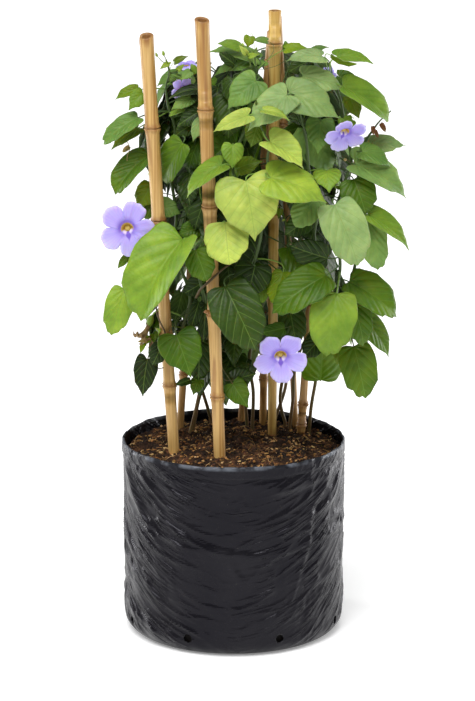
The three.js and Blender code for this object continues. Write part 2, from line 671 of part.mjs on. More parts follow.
function corolla(flower, spread) {
  const edge = FLOWER_RADIUS * spread;
  const profile = [
    [0, -TUBE_LENGTH],
    [TUBE_RADIUS, -TUBE_LENGTH],
    [TUBE_RADIUS + 0.4, -17],
    [THROAT_RADIUS - 1, -0.9],
    [0.7 * edge, -0.5],
    [edge, -3],
    [edge, -2],
    [0.7 * edge, 0.6],
    [THROAT_RADIUS - 2, 0.5],
    [0, -15],
  ];
  const lobed = movedBy(latheOf(profile, flower.sides ?? 20), (p) => {
    const radius = Math.hypot(p.x, p.y);
    if (radius < THROAT_RADIUS) return;
    const angle = Math.atan2(p.y, p.x) + Math.PI / 2;
    const lobe = Math.abs(Math.cos(2.5 * angle)) ** 0.35;
    const scale = (THROAT_RADIUS + (radius - THROAT_RADIUS) * (0.3 + 0.7 * lobe)) / radius;
    p.x *= scale;
    p.y *= scale;
    p.z -= (flower.reflex ?? 0) * ((radius - THROAT_RADIUS) / (edge - THROAT_RADIUS)) ** 2;
  });
  return solidOf(lobed.applyMatrix4(flowerPlace(flower)));
}

function calyx(flower) {
  const back = -TUBE_LENGTH;
  const profile = [
    [0, back - 8],
    [2.4, back - 7],
    [5, back - 3],
    [5, back + 5],
    [4, back + 5],
    [4, back - 0.5],
    [0, back - 0.5],
  ];
  return solidOf(latheOf(profile, 8).applyMatrix4(flowerPlace(flower)));
}

// Seats the flower in its cup and hangs the cup's stalk from the nearest stem that it reaches clear.
function growFlower(name, flower, spread) {
  const matrix = flowerPlace(flower);
  const seat = new THREE.Vector3(0, 0, -TUBE_LENGTH - 5).applyMatrix4(matrix);
  const ahead = new THREE.Vector3(0, 0, -TUBE_LENGTH - 4).applyMatrix4(matrix).sub(seat).normalize();
  for (const { vine, point } of stalkRoots(seat)) {
    const stalk = stalkSolid(point, seat, ahead, STALK_RADIUS + 0.2, 4);
    if (!clears(stalk, (owner) => owner !== owners[vine])) continue;
    const petals = corolla(flower, spread);
    const cup = calyx(flower);
    place(name, petals);
    place(owners[vine], cup);
    place(owners[vine], stalk);
    vineSolids[vine] = vineSolids[vine].add(cup).add(stalk);
    return petals;
  }
  throw new Error(`${name} reaches no stem`);
}

// Assembly

const materials = Object.fromEntries(
  Object.entries(COLOURS).map(([name, color]) => [
    name,
    new THREE.MeshStandardMaterial({ color, roughness: name === 'film' ? 0.45 : 0.65, metalness: 0 }),
  ]),
);

const group = new THREE.Group();
group.name = 'potted_thunbergia_vine';

function show(name, solid, material) {
  const mesh = new THREE.Mesh(geometryOf(solid), material);
  mesh.geometry = mesh.geometry.toNonIndexed();
  mesh.geometry.computeVertexNormals();
  mesh.name = name;
  group.add(mesh);
}

show('grow_bag', growBag(), materials.film);

let soil = soilBlock();
for (const spec of CANES) soil = soil.subtract(caneHole(spec));
for (const curve of stemWays) soil = soil.subtract(rootHole(curve));
show('soil', soil, materials.soil);

CANES.forEach((spec, i) => {
  const solid = cane(spec);
  place(`cane_${i + 1}`, solid);
  show(`cane_${i + 1}`, solid, spec.yellow ? materials.yellowBamboo : materials.bamboo);
});

vineSolids.forEach((solid, i) => place(owners[i], solid));

FLOWERS.forEach((flower, i) => {
  const name = `bloom_${i + 1}`;
  show(name, growFlower(name, flower, 1), materials.petal);
});
show('dry_bloom', growFlower('dry_bloom', DRY_FLOWER, 0.45), materials.dryPetal);

LEAVES.forEach((row) => growLeaf(row, true));

const random = seeded(7);
for (let i = 0; i < FILL_LEAVES; i++) {
  const row = fillRow(i, random);
  if (row[1] > FILL_FRONT) growLeaf(row, false);
}

vineSolids.forEach((solid, i) => show(owners[i], solid, materials.leaf));

export default group;
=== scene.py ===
"""Looks for a potted blue trumpet vine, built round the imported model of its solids.

Blender's units are metres, with +Z up and -Y towards the viewer. The builders model in millimetres, and
each piece is scaled to metres as it is finished.
"""

from functools import partial
from math import asin, atan2, copysign, cos, degrees, exp, hypot, pi, radians, sin, sqrt
from random import Random

import bmesh
import bpy
from bpy.props import FloatProperty, FloatVectorProperty, IntProperty, PointerProperty
from mathutils import Matrix, Quaternion, Vector, noise
from mathutils.bvhtree import BVHTree
from mathutils.kdtree import KDTree


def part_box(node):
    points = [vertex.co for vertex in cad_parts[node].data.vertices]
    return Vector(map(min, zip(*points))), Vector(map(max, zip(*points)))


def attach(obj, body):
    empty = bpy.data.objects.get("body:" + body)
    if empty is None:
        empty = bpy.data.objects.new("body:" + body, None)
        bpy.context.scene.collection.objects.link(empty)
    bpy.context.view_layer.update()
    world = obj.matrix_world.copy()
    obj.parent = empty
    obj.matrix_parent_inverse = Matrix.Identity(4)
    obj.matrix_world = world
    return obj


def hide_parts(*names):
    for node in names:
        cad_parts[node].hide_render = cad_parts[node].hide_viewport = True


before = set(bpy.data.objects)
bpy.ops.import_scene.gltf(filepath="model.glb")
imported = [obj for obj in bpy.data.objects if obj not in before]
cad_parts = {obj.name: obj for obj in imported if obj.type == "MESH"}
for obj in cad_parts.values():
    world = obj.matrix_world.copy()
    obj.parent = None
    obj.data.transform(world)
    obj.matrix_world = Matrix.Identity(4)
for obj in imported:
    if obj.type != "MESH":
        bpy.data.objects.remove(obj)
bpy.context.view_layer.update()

bl_info = {
    "name": "Potted trumpet vine",
    "version": (1, 0, 0),
    "blender": (4, 5, 0),
    "location": "3D View > Sidebar > Trumpet vine",
    "description": "Builds a blue trumpet vine on bamboo canes in a black grow bag",
    "category": "Add Mesh",
}

MM = 0.001
TURN = 2 * pi

# The bag and its compost
BAG_HEIGHT = (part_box("grow_bag")[1] / MM).z
BAG_RADIUS = 138.5
BAG_CORNER = 21
HEM_HEIGHT = 15
HEM_FOLD = 1.6
DRAIN_RADIUS = 5.5
DRAIN_HEIGHT = 21.5
DRAIN_AZIMUTHS = (24.5, 68, 112, 155.5)
SOIL_EDGE = 231
SOIL_CROWN = 12

# Creases that the film's own weight pulls into the wall: the azimuth and height where each starts and ends,
# and its depth. The viewer looks at azimuth 0, and azimuths grow to the viewer's right.
CREASES = (
    ((-74, 227), (-55, 176), 1.5), ((-55, 176), (-40, 133), 1.2), ((-66, 237), (-43, 205), 1.2),
    ((-68, 197), (-42, 150), 1.4), ((-42, 150), (-19, 137), 1.2), ((-34, 158), (-2, 135), 0.6),
    ((-19, 137), (19, 132), 0.8), ((58, 216), (45, 187), 1.5), ((45, 187), (40, 122), 0.9),
    ((40, 122), (31, 66), 0.7), ((74, 146), (35, 137), 1.2), ((35, 137), (10, 131), 0.7),
    ((74, 164), (32, 157), 0.9), ((62, 222), (20, 212), 0.9), ((8, 222), (30, 229), 1.0),
    ((14, 217), (34, 222), 0.9), ((80, 100), (43, 84), 1.0), ((74, 72), (40, 58), 0.8),
    ((-88, 60), (-62, 36), 1.8), ((-62, 36), (-44, 22), 1.4), ((-84, 112), (-58, 86), 1.2),
    ((-53, 94), (-40, 57), 1.1), ((-80, 150), (-60, 110), 1.2), ((-2, 135), (3, 100), 0.7),
    ((110, 222), (134, 118), 1.3), ((158, 214), (136, 96), 1.1), ((178, 188), (206, 84), 1.2),
    ((236, 224), (214, 128), 1.1), ((262, 176), (248, 60), 1.0),
)

# Canes: the points of each axis from the compost up, the radii at the compost and at the top, the heights
# of the node rings, and the slope of the cut top along x and y. A stripe is a dark streak below the top: its
# azimuth and length. A notch is the depth of the split in the cut's left side.
CANES = {
    "cane_1": {
        "way": [(-75, -38, 241), (-106, -44, 765)],
        "radii": (7.2, 9),
        "rings": (326, 389, 536, 652),
        "cut": (0.1, 0.35),
        "notch": 7,
        "stripe": (-78, 70),
    },
    "cane_2": {
        "way": [(-17, -73, 237), (-38, -66, 788)],
        "radii": (7.6, 9),
        "rings": (320, 424, 559, 679),
        "cut": (-0.1, 0.3),
        "stripe": (6, 120),
    },
    "cane_3": {
        "way": [(-69, 66, 242), (-35, 20, 742)], "radii": (4.6, 5.2), "rings": (315, 525), "cut": (0.2, 0.2)
    },
    "cane_4": {
        "way": [(49, 33, 245), (51, 26, 786)], "radii": (5.6, 8), "rings": (363, 530, 745), "cut": (0, 0.05)
    },
    "cane_5": {
        "way": [(86, 45, 240), (96, 45, 403), (109, 40, 497), (118, 36, 558)],
        "radii": (5.2, 4.4),
        "rings": (252, 279, 410),
        "cut": (0.2, 0.2),
    },
    "cane_6": {
        "way": [(10, 100, 246), (47, 62, 756)], "radii": (4.6, 5.4), "rings": (450, 690), "cut": (0.3, 0.1)
    },
    "cane_7": {
        "way": [(38, 100, 247), (40, 70, 474), (43, 46, 721)],
        "radii": (5, 5),
        "rings": (300, 545),
        "cut": (-0.2, 0.2),
    },
    "cane_8": {
        "way": [(79, 78, 246), (60, 50, 690), (55, 40, 776)],
        "radii": (4.2, 4.6),
        "rings": (470, 640),
        "cut": (0.2, 0.1),
    },
}
YELLOW_CANE = "cane_4"
CANE_BOTTOM = 62
CANE_BORE = 0.62
CANE_BORE_DEPTH = 30

# Vines: each main stem runs through these points, from the compost up.
VINES = (
    (
        (-52, 52, 243), (-45, 46, 282), (-38, 36, 308), (-34, 18, 341), (-33, -4, 382), (-35, -28, 421),
        (-39, -46, 451), (-45, -62, 480), (-47, -72, 505), (-36, -90, 523), (-21, -94, 533),
        (-5, -90, 545), (4, -82, 566), (5, -78, 588), (-1, -76, 606), (3, -60, 627), (15, -50, 653),
        (27, -40, 686), (29, -45, 716), (26, -30, 736),
    ),
    (
        (-29, 88, 245), (-37, 78, 276), (-43, 60, 300), (-51, 36, 328), (-60, 10, 361), (-64, -8, 389),
        (-58, -22, 413), (-54, -26, 435), (-60, -24, 457), (-70, -20, 479), (-74, -18, 507),
        (-71, -16, 532), (-74, -14, 561), (-79, -12, 593), (-76, -12, 624), (-72, -10, 646),
        (-80, -12, 671), (-83, -10, 696), (-79, -12, 714), (-83, -12, 731),
    ),
    (
        (17, 84, 246), (14, 80, 280), (12, 68, 309), (5, 46, 343), (0, 18, 376), (3, -14, 414),
        (10, -42, 444), (20, -62, 474), (30, -68, 505), (35, -78, 538), (38, -88, 571), (42, -96, 602),
        (41, -100, 625), (43, -104, 643), (34, -108, 662), (28, -110, 677),
    ),
    (
        (24, 66, 247), (25, 62, 290), (20, 50, 330), (24, 26, 373), (34, 12, 411), (50, 8, 444),
        (66, 14, 474), (68, 32, 500), (60, 50, 530), (44, 50, 560), (32, 36, 590), (34, 16, 624),
        (42, 0, 656), (52, -34, 684), (66, -74, 703),
    ),
    (
        (66, 80, 245), (60, 79, 270), (62, 72, 300), (73, 50, 351), (84, 22, 397), (98, -12, 443),
        (104, -45, 484), (99, -60, 521), (102, -66, 548), (95, -68, 580), (91, -70, 611), (88, -74, 643),
        (82, -82, 671), (78, -92, 686),
    ),
    (
        (72, 66, 245), (76, 62, 281), (77, 52, 317), (84, 30, 352), (99, 8, 384), (123, -20, 418),
        (128, -50, 452), (131, -66, 486), (127, -66, 517), (124, -72, 551), (135, -66, 586),
        (144, -56, 612), (141, -46, 635), (135, -44, 660), (131, -46, 684), (124, -50, 706),
        (112, -62, 722),
    ),
    (
        (97, 60, 242), (99, 55, 270), (103, 44, 300), (109, 26, 336), (125, 6, 366), (141, -14, 394),
        (149, -30, 428), (147, -42, 460), (152, -48, 490), (158, -42, 515), (160, -40, 545),
        (157, -40, 578), (150, -46, 607), (161, -44, 634), (171, -40, 649), (180, -36, 660),
        (193, -32, 671),
    ),
    (
        (-14, 72, 246), (-26, 84, 290), (-40, 92, 330), (-52, 94, 372), (-44, 84, 420), (-20, 84, 462),
        (-8, 92, 500), (-28, 94, 545), (-52, 80, 590), (-42, 66, 635), (-20, 64, 680), (-14, 50, 712),
    ),
    (
        (54, 104, 244), (68, 112, 290), (62, 110, 340), (66, 102, 386), (84, 96, 426), (108, 78, 466),
        (108, 68, 515), (94, 80, 560), (96, 70, 605), (110, 48, 650), (104, 26, 690), (92, 20, 716),
    ),
)
STEM_RADIUS = 2.1
STALK_RADIUS = 1
ROOT_DEPTH = 20
STALK_REACH = (15, 95)
STALK_TRIES = 7
STALK_BOW = 0.45
STEM_STEPS = 110

# How finely each kind of leaf is divided: columns on each half, and rows along it
FRONT_GRID = (16, 13)
BACK_GRID = (8, 9)
SMALL_GRID = (8, 7)
SHADED_GRID = (4, 4)
# Shaded leaves: the lowest and how much higher the highest stands, and the least distance between them
SHADED_LOW = 335
SHADED_RISE = 390
SHADED_APART = 12

# Leaves that the solids hold. Each row: where the stalk meets the blade, where the tip ends, width over
# length, the turn and lift of the face and the fold of its halves in degrees, the form (0 is a young
# angular leaf, 1 an older egg-shaped one) and its tone.
LEAVES = (
    (15, -112, 599, 29, -124, 527, 1.02, 0, 20, 10, 0, "L"),  # big lime centre
    (45, -118, 605, 115, -116, 575, 0.76, 10, 50, 8, 0, "L"),  # big lime right
    (-10, -98, 545, -3, -124, 498, 1.0, -10, 15, 8, 1, "L"),  # round lime
    (-62, -74, 519, -114, -104, 425, 0.76, -34, 30, 33, 1, "B"),  # big left
    (-10, -96, 465, 29, -120, 391, 0.68, 0, 15, 10, 1, "D"),  # dark centre
    (-70, -70, 397, -52, -84, 346, 0.92, 0, 18, 8, 0, "M"),  # low left over cane
    (122, -104, 568, 151, -118, 494, 0.68, 14, 12, 14, 1, "P"),  # right grey green
    (126, -96, 456, 113, -112, 380, 0.7, 0, 12, 8, 1, "B"),  # lower right light
    (113, -88, 477, 48, -106, 434, 0.62, -15, 30, 14, 1, "M"),  # mid right
    (142, -70, 465, 200, -72, 422, 0.7, 20, 42, 20, 1, "M"),  # right shoulder
    (149, -58, 380, 164, -70, 316, 0.66, 4, 6, 6, 1, "M"),  # bottom right
    (146, -76, 440, 161, -84, 387, 0.62, 20, 5, 10, 1, "M"),  # behind lower right
    (162, -56, 414, 194, -50, 363, 0.54, 42, 8, 12, 0, "M"),  # right edge low
    (164, -78, 542, 177, -84, 482, 0.56, 14, 10, 10, 1, "G"),  # right under
    (164, -70, 552, 216, -56, 503, 0.46, 30, 50, 22, 0, "B"),  # right edge mid
    (146, -80, 595, 161, -94, 554, 0.92, 12, 8, 6, 1, "M"),  # right round dark
    (149, -74, 612, 214, -58, 567, 0.62, 20, 52, 24, 0, "G"),  # right top long
    (113, -78, 605, 117, -104, 583, 0.95, 5, 25, 8, 0, "B"),  # behind lime right
    (100, -90, 574, 74, -104, 541, 0.8, -10, 15, 10, 1, "G"),  # under lime right
    (115, -72, 495, 68, -80, 513, 0.66, -10, 8, 8, 1, "D"),  # dark mid right
    (91, -66, 543, 64, -74, 524, 0.8, 0, 10, 8, 1, "D"),  # dark inner right
    (61, -78, 479, 50, -88, 439, 0.62, -20, 10, 10, 1, "Y"),  # under mid right
    (26, -80, 486, 16, -92, 445, 1.0, 0, 12, 10, 0, "D"),  # mid centre
    (-134, -62, 453, -151, -70, 397, 0.58, -10, 8, 8, 1, "B"),  # left hanging
    (-107, -46, 360, -114, -56, 313, 0.6, -10, 8, 10, 0, "D"),  # left low
    (-87, -34, 385, -100, -40, 357, 0.7, 0, 10, 8, 1, "D"),  # left low behind
    (-43, -40, 382, -44, -52, 334, 0.72, 6, 8, 8, 1, "D"),  # right of low left
    (1, -50, 335, 29, -58, 346, 0.8, 0, 20, 8, 0, "D"),  # low centre upper
    (-1, -54, 332, 19, -64, 303, 0.76, 0, 12, 8, 0, "M"),  # low centre lower
    (110, 14, 318, 111, -10, 374, 0.78, 0, 0, 6, 1, "M"),  # upright right
    (110, -40, 387, 86, -52, 364, 0.72, -10, 10, 8, 1, "D"),  # dark low right
    (-119, -16, 694, -146, -16, 682, 0.62, -20, 45, 22, 0, "Y"),  # left top bright
    (-111, -22, 692, -129, -30, 672, 0.74, -10, 12, 8, 0, "B"),  # left top
    (-117, -30, 662, -160, -42, 631, 0.5, -25, 38, 16, 1, "G"),  # left upper
    (-118, -20, 647, -151, -26, 620, 0.45, -25, 30, 14, 0, "Y"),  # left upper behind
    (-105, -24, 612, -146, -48, 567, 0.64, -40, 18, 26, 1, "M"),  # left mid dark
    (-62, -44, 633, -86, -18, 579, 0.6, -30, 12, 22, 1, "M"),  # left behind cane
    (-101, -20, 577, -116, -24, 549, 0.86, -10, 10, 10, 1, "Y"),  # left yellow
    (-97, -16, 560, -108, -22, 532, 0.6, -10, 8, 8, 1, "M"),  # left by flower
    (-15, -90, 615, -59, -92, 576, 0.66, -10, 68, 16, 0, "B"),  # across cane
    (-12, -40, 627, -46, -46, 597, 0.78, 0, 10, 8, 0, "M"),  # behind cane upper
    (-1, -56, 637, -2, -68, 609, 0.86, 0, 14, 10, 0, "B"),  # centre small
    (7, -62, 606, 36, -66, 615, 0.74, 0, 30, 10, 0, "Y"),  # centre yellow
    (67, -98, 705, 130, -102, 674, 0.66, 0, 42, 8, 0, "P"),  # pair right
    (64, -98, 703, 16, -106, 661, 0.66, -10, 38, 8, 0, "P"),  # pair left
    (84, -70, 720, 136, -70, 701, 0.62, 5, 45, 8, 0, "P"),  # behind pair right
    (132, -58, 708, 189, -44, 662, 0.6, 15, 56, 24, 1, "B"),  # right top dark
    (129, -34, 713, 162, -30, 696, 0.6, 15, 45, 14, 0, "M"),  # right top behind
    (126, -66, 743, 171, -56, 733, 0.6, 10, 64, 16, 0, "B"),  # top right light
    (106, -68, 744, 63, -76, 740, 0.66, 0, 62, 8, 0, "P"),  # top grey
    (94, -54, 736, 66, -58, 722, 0.6, 0, 25, 8, 1, "D"),  # top right shade
    (26, -10, 734, -31, -16, 741, 0.6, 0, 68, 8, 0, "G"),  # top flat
    (31, -22, 730, -25, -34, 713, 0.6, 0, 66, 8, 0, "G"),  # top under flat
    (29, -52, 719, -5, -62, 704, 0.66, 0, 20, 8, 0, "D"),  # upper dark
    (27, -46, 714, -9, -58, 681, 0.74, -15, 22, 8, 0, "G"),  # upper dark lower
    (-42, -20, 697, -80, -26, 685, 0.46, 0, 60, 8, 0, "D"),  # upper left flat
    (-53, -26, 685, -77, -32, 672, 0.6, 0, 35, 8, 0, "G"),  # upper left mid
    (-42, -28, 669, -70, -34, 652, 0.7, 0, 25, 8, 0, "D"),  # upper left dark
    (-52, -30, 652, -74, -34, 638, 0.76, 0, 20, 8, 0, "D"),  # mid left dark
    (-40, -44, 660, -50, -48, 635, 0.6, -20, 15, 10, 0, "P"),  # left of cane pale
    (106, -74, 666, 102, -86, 627, 0.84, 0, 12, 8, 0, "G"),  # right of centre
    (157, -58, 627, 193, -52, 607, 0.66, 10, 46, 18, 0, "G"),  # right green
    (164, -40, 628, 213, -34, 629, 0.6, 12, 48, 8, 0, "P"),  # right pale
    (142, -52, 691, 153, -56, 664, 0.66, 0, 10, 8, 0, "Y"),  # right yellow
    (-44, -46, 527, -66, -52, 520, 1.0, 0, 20, 8, 1, "M"),  # left mid round
    (-91, -22, 550, -64, -24, 539, 0.84, 0, 20, 8, 0, "G"),  # right of left cane
    (-46, -84, 508, -32, -92, 471, 0.86, 0, 12, 8, 1, "M"),  # over cane lower
    (-30, -50, 459, -61, -56, 441, 0.76, 0, 12, 8, 1, "D"),  # below cane lower
    (-64, -22, 436, -74, -28, 400, 0.6, 0, 8, 8, 1, "D"),  # left inner
    (-43, -42, 433, -54, -46, 397, 0.42, 0, 8, 8, 1, "D"),  # inner narrow
    (70, -36, 420, 79, -44, 378, 0.76, 0, 8, 8, 1, "D"),  # dark lower centre
    (63, -44, 401, 34, -50, 396, 0.6, 0, 15, 8, 1, "M"),  # above flower
    (17, -112, 680, -25, -118, 660, 0.46, -15, 30, 16, 0, "L"),  # lime small left
    (37, -116, 688, 68, -120, 676, 0.5, 0, 66, 14, 0, "L"),  # lime small right
    (44, -112, 647, 86, -120, 616, 0.84, 22, 42, 32, 0, "L"),  # lime lower right
    (28, -108, 663, 21, -114, 638, 0.95, 0, 12, 12, 0, "Y"),  # lime folded
)

# The smallest leaves, which only this script places.
SMALL_LEAVES = (
    (35, -78, 466, 36, -84, 441, 0.62, 0, 10, 10, 1, "M"),  # small centre
    (-54, -40, 332, -72, -44, 327, 0.5, 0, 20, 8, 1, "D"),  # low twig leaf
    (-44, -36, 331, -51, -42, 313, 0.85, 0, 15, 8, 0, "M"),  # low knot leaf
    (133, -48, 375, 126, -52, 357, 0.7, 0, 10, 8, 0, "Y"),  # yellow low right
    (118, -80, 747, 149, -84, 737, 0.5, 0, -60, 8, 1, "Y"),  # top right under
    (96, -58, 748, 116, -60, 752, 0.6, 0, 60, 8, 0, "G"),  # top right small
    (64, -44, 749, 91, -46, 751, 0.6, 0, 55, 8, 0, "Y"),  # top yellow
    (65, -36, 743, 63, -36, 758, 0.6, 0, 5, 8, 1, "M"),  # top upright
    (20, -16, 760, 17, -20, 747, 1.0, 0, 5, 8, 0, "Y"),  # top lobed
    (41, 2, 752, 23, 2, 753, 0.6, 0, 50, 8, 0, "G"),  # top pale behind
    (7, -24, 748, -21, -26, 753, 0.6, 0, 55, 8, 0, "B"),  # top bright
    (1, -30, 728, -18, -30, 742, 0.55, 0, 20, 8, 1, "D"),  # top dark small
    (-53, -24, 718, -64, -28, 708, 0.75, 0, 25, 8, 0, "G"),  # upper left small
    (-45, -20, 716, -52, -20, 727, 0.6, 0, 10, 8, 1, "B"),  # upper left by cane
    (-72, -10, 728, -55, -10, 735, 0.5, 0, 40, 8, 0, "Y"),  # upper left bright
    (-71, -6, 711, -95, -8, 696, 0.6, 0, 45, 8, 0, "G"),  # upper left grey
    (-76, -24, 666, -54, -26, 670, 0.4, 0, 60, 8, 0, "B"),  # upper left thin
    (144, -62, 665, 125, -66, 652, 0.66, 0, 25, 8, 0, "B"),  # behind flower right
    (-41, -44, 514, -57, -50, 502, 0.8, 0, 20, 8, 0, "G"),  # left mid grey
    (-34, -44, 432, -38, -46, 383, 0.3, 0, 5, 8, 1, "D"),  # inner narrow right
    (-132, -42, 490, -144, -44, 475, 0.5, 0, 10, 10, 0, "M"),  # small by flower
)

TONES = {
    "L": ("86A22C", "ADBF56", "Lime of the youngest leaves"),
    "B": ("5C7C1C", "7E9E30", "Bright leaf"),
    "M": ("3C5C06", "547410", "Full-grown leaf"),
    "G": ("587A2E", "76964A", "Grey-green leaf that shines in the light from above"),
    "P": ("779250", "91A86B", "Pale grey-green leaf turned to the light"),
    # The dark tone is partly the colour of old leaves and partly painted shade, for the leaves that hang
    # inside the canopy.
    "D": ("172901", "2E4608", "Dark old leaf"),
    "Y": ("435705", "6D860B", "Yellow-green leaf with light behind it"),
    "R": ("7D452A", "975C37", "Reddish bract"),
    "K": ("8F7B49", "A8925C", "Dry bract"),
    "T": ("504126", "6B5731", "Brown twig"),
}

# Blooms: throat centre, turn and lift of the face in degrees, the spin of the lowest lobe, and the size.
BLOOMS = {
    "bloom_1": {"centre": (-131, -56, 528), "turn": -6, "lift": 8, "spin": 14, "size": 1},
    "bloom_2": {"centre": (58, -90, 374), "turn": 4, "lift": -13, "spin": 3, "size": 0.97, "reflex": -4},
    "bloom_3": {"centre": (135, -88, 653), "turn": 17, "lift": -37, "spin": -16, "size": 0.77, "reflex": -8},
    "bloom_4": {"centre": (-58, -3, 723), "turn": -20, "lift": 72, "spin": 20, "size": 0.4},
    "bloom_5": {"centre": (-62, -17, 695), "turn": 20, "lift": -8, "spin": 10, "size": 0.44},
    "dry_bloom": {"centre": (-112, -36, 385), "turn": -60, "lift": -66, "spin": 0, "size": 0.9},
}
BLOOM_RADIUS = 35
THROAT_RADIUS = 14
TUBE_LENGTH = 26
BLOOM_SEAT = (0, 0, -TUBE_LENGTH - 5)
DRY_SPREAD = 0.45

# The leaf's outline: half of it, from the lobe by the stalk to the tip, as shares of the width across and
# of the length along, for the angular form and the egg-shaped one.
OUTLINES = (
    (
        (0.18, -0.11), (0.33, -0.13), (0.46, -0.06), (0.5, 0.08), (0.5, 0.3), (0.45, 0.45),
        (0.35, 0.6), (0.2, 0.74), (0.08, 0.84), (0.03, 0.92), (0, 1),
    ),
    (
        (0.2, -0.045), (0.36, -0.03), (0.46, 0.08), (0.5, 0.23), (0.5, 0.41), (0.45, 0.6),
        (0.34, 0.76), (0.18, 0.89), (0.06, 0.96), (0, 1),
    ),
)
BLADE_BEND = 0.7
BLADE = 0.8
MIDRIB = 0.42
VEIN_SPACE = 0.2
DEPTH_TRIES = (0, -5, 5, -10, 10, -16, 16, -23, 23, 31, 40, -31)
FILL_LEAVES = 44
FILL_SEED = 7
FILL_SWEEP = 1.55 * pi
# Canes that show between the leaves, from the first height to the second; no shaded leaf hangs before them.
CLEAR_VIEWS = (
    ("cane_4", 245, 786),
    ("cane_3", 245, 340),
    ("cane_5", 245, 360),
    ("cane_6", 640, 750),
    ("cane_7", 250, 320),
    ("cane_8", 640, 770),
)
CANOPY = {"x": 25, "y": 10, "width": 112, "depth": 108, "low": 390, "high": 735}

# Profile of a cane's ring: swell over the cane's radius, and height over the ring's
CANE_RING_PROFILE = (
    (0, -14), (0.3, -8), (1.0, -3.8), (2.1, -2), (1.5, -1.1), (0.2, -0.5), (0.2, 0.1), (1.7, 0.9),
    (1.8, 1.8), (0.7, 3), (0.1, 7), (0, 14),
)
# Stubs of side shoots on the canes: place, heading and radius
STUBS = {
    "cane_1": (((-81, -49, 394), (-0.5, -1, 0.3), 3.0),),
    "cane_2": (((-21, -70, 533), (1, -0.4, 0.5), 4.6), ((-33, -78, 429), (-1, -0.5, 0.1), 2.4)),
    "cane_5": (((93, 39, 279), (-0.6, -1, 0.2), 2.2),),
}

# Thin shoots, tendrils and twigs: the points of each, its radii at the first and the last, and its tone
SHOOTS = (
    (
        ((60, 46, 533), (58, 22, 541), (54, 10, 543), (60, 5, 537), (64, 3, 528), (67, 1, 515), (70, 0, 501)),
        (0.9, 0.5),
        "Y",
    ),
    (((-79, -13, 704), (-78, -20, 716), (-80, -25, 728), (-85, -27, 739)), (0.9, 0.5), "Y"),
    (((-78, -20, 716), (-73, -23, 718), (-68, -24, 720)), (0.6, 0.4), "Y"),
    (((-80, -25, 728), (-87, -27, 731), (-93, -28, 738)), (0.6, 0.4), "Y"),
    (((-79, -17, 711), (-72, -21, 707), (-66, -24, 709)), (0.6, 0.4), "Y"),
    (
        ((-90, -40, 452), (-95, -50, 436), (-95, -52, 422), (-91, -53, 410), (-86, -51, 399), (-84, -48, 392)),
        (0.9, 1.1),
        "T",
    ),
    (
        ((-66, -12, 393), (-80, -24, 397), (-94, -32, 392), (-103, -42, 388), (-112, -50, 381)),
        (1.0, 0.6),
        "Y",
    ),
    (((-76, -30, 351), (-86, -42, 349), (-94, -50, 350), (-98, -52, 355)), (0.8, 0.6), "M"),
    (
        ((-4, -72, 488), (-14, -78, 482), (-24, -81, 473), (-34, -81, 464), (-41, -76, 456), (-46, -66, 444)),
        (1.5, 1.7),
        "T",
    ),
    (
        ((-30, -56, 602), (-37, -60, 593), (-41, -62, 581), (-39, -63, 566), (-31, -60, 556)),
        (0.9, 0.7),
        "M",
    ),
    (((-37, 16, 330), (-44, 14, 302), (-50, 18, 272), (-56, 24, 246)), (1.0, 2.0), "K"),
    (((150, -60, 603), (148, -64, 610), (152, -65, 617), (158, -64, 624)), (1.0, 0.6), "T"),
    (((148, -64, 610), (143, -66, 613), (138, -66, 616)), (0.7, 0.4), "T"),
    (((125, -62, 574), (127, -76, 578), (127, -84, 586)), (0.8, 0.6), "M"),
    (((21, -40, 722), (20, -32, 732), (16, -30, 740), (12, -30, 751)), (0.8, 0.5), "Y"),
    (((18, -31, 737), (23, -31, 742), (27, -31, 746)), (0.6, 0.4), "Y"),
    (
        ((-131, -20, 600), (-131, -22, 612), (-128, -20, 622), (-132, -18, 630), (-138, -20, 626)),
        (0.5, 0.5),
        "K",
    ),
)
# Buds: place, heading, length, radius and tone
BUDS = (
    ((70, 0, 502), (0.2, 0, -1), 5, 1.5, "Y"),
    ((67, 1, 516), (1, -0.4, -0.6), 4, 1.2, "Y"),
    ((64, 3, 528), (-1, -0.4, -0.6), 5, 1.6, "L"),
    ((-85, -27, 738), (-0.2, 0, 1), 7, 2.0, "L"),
    ((-68, -24, 720), (1, -0.2, 0.5), 6, 1.7, "L"),
    ((-93, -28, 737), (-0.4, 0, 1), 6, 1.7, "L"),
    ((-66, -24, 709), (1, -0.2, 0.2), 6, 1.7, "Y"),
    ((-80, -25, 728), (1, -0.4, 0.5), 5, 1.6, "L"),
    ((-112, -50, 381), (-1, -0.3, 0.1), 6, 1.8, "K"),
    ((-103, -42, 388), (-0.4, -1, 0.8), 5, 1.6, "Y"),
    ((158, -64, 624), (0.6, -0.3, 1), 6, 2.2, "R"),
    ((138, -66, 616), (-1, -0.3, 0.4), 5, 2.0, "K"),
    ((152, -65, 617), (0.3, -1, 0.3), 6, 2.4, "R"),
    ((12, -30, 750), (-0.2, 0, 1), 5, 1.4, "L"),
    ((27, -31, 745), (0.4, 0, 1), 5, 1.4, "Y"),
    ((27, -110, 692), (0.1, -0.4, 1), 7, 1.6, "Y"),
)
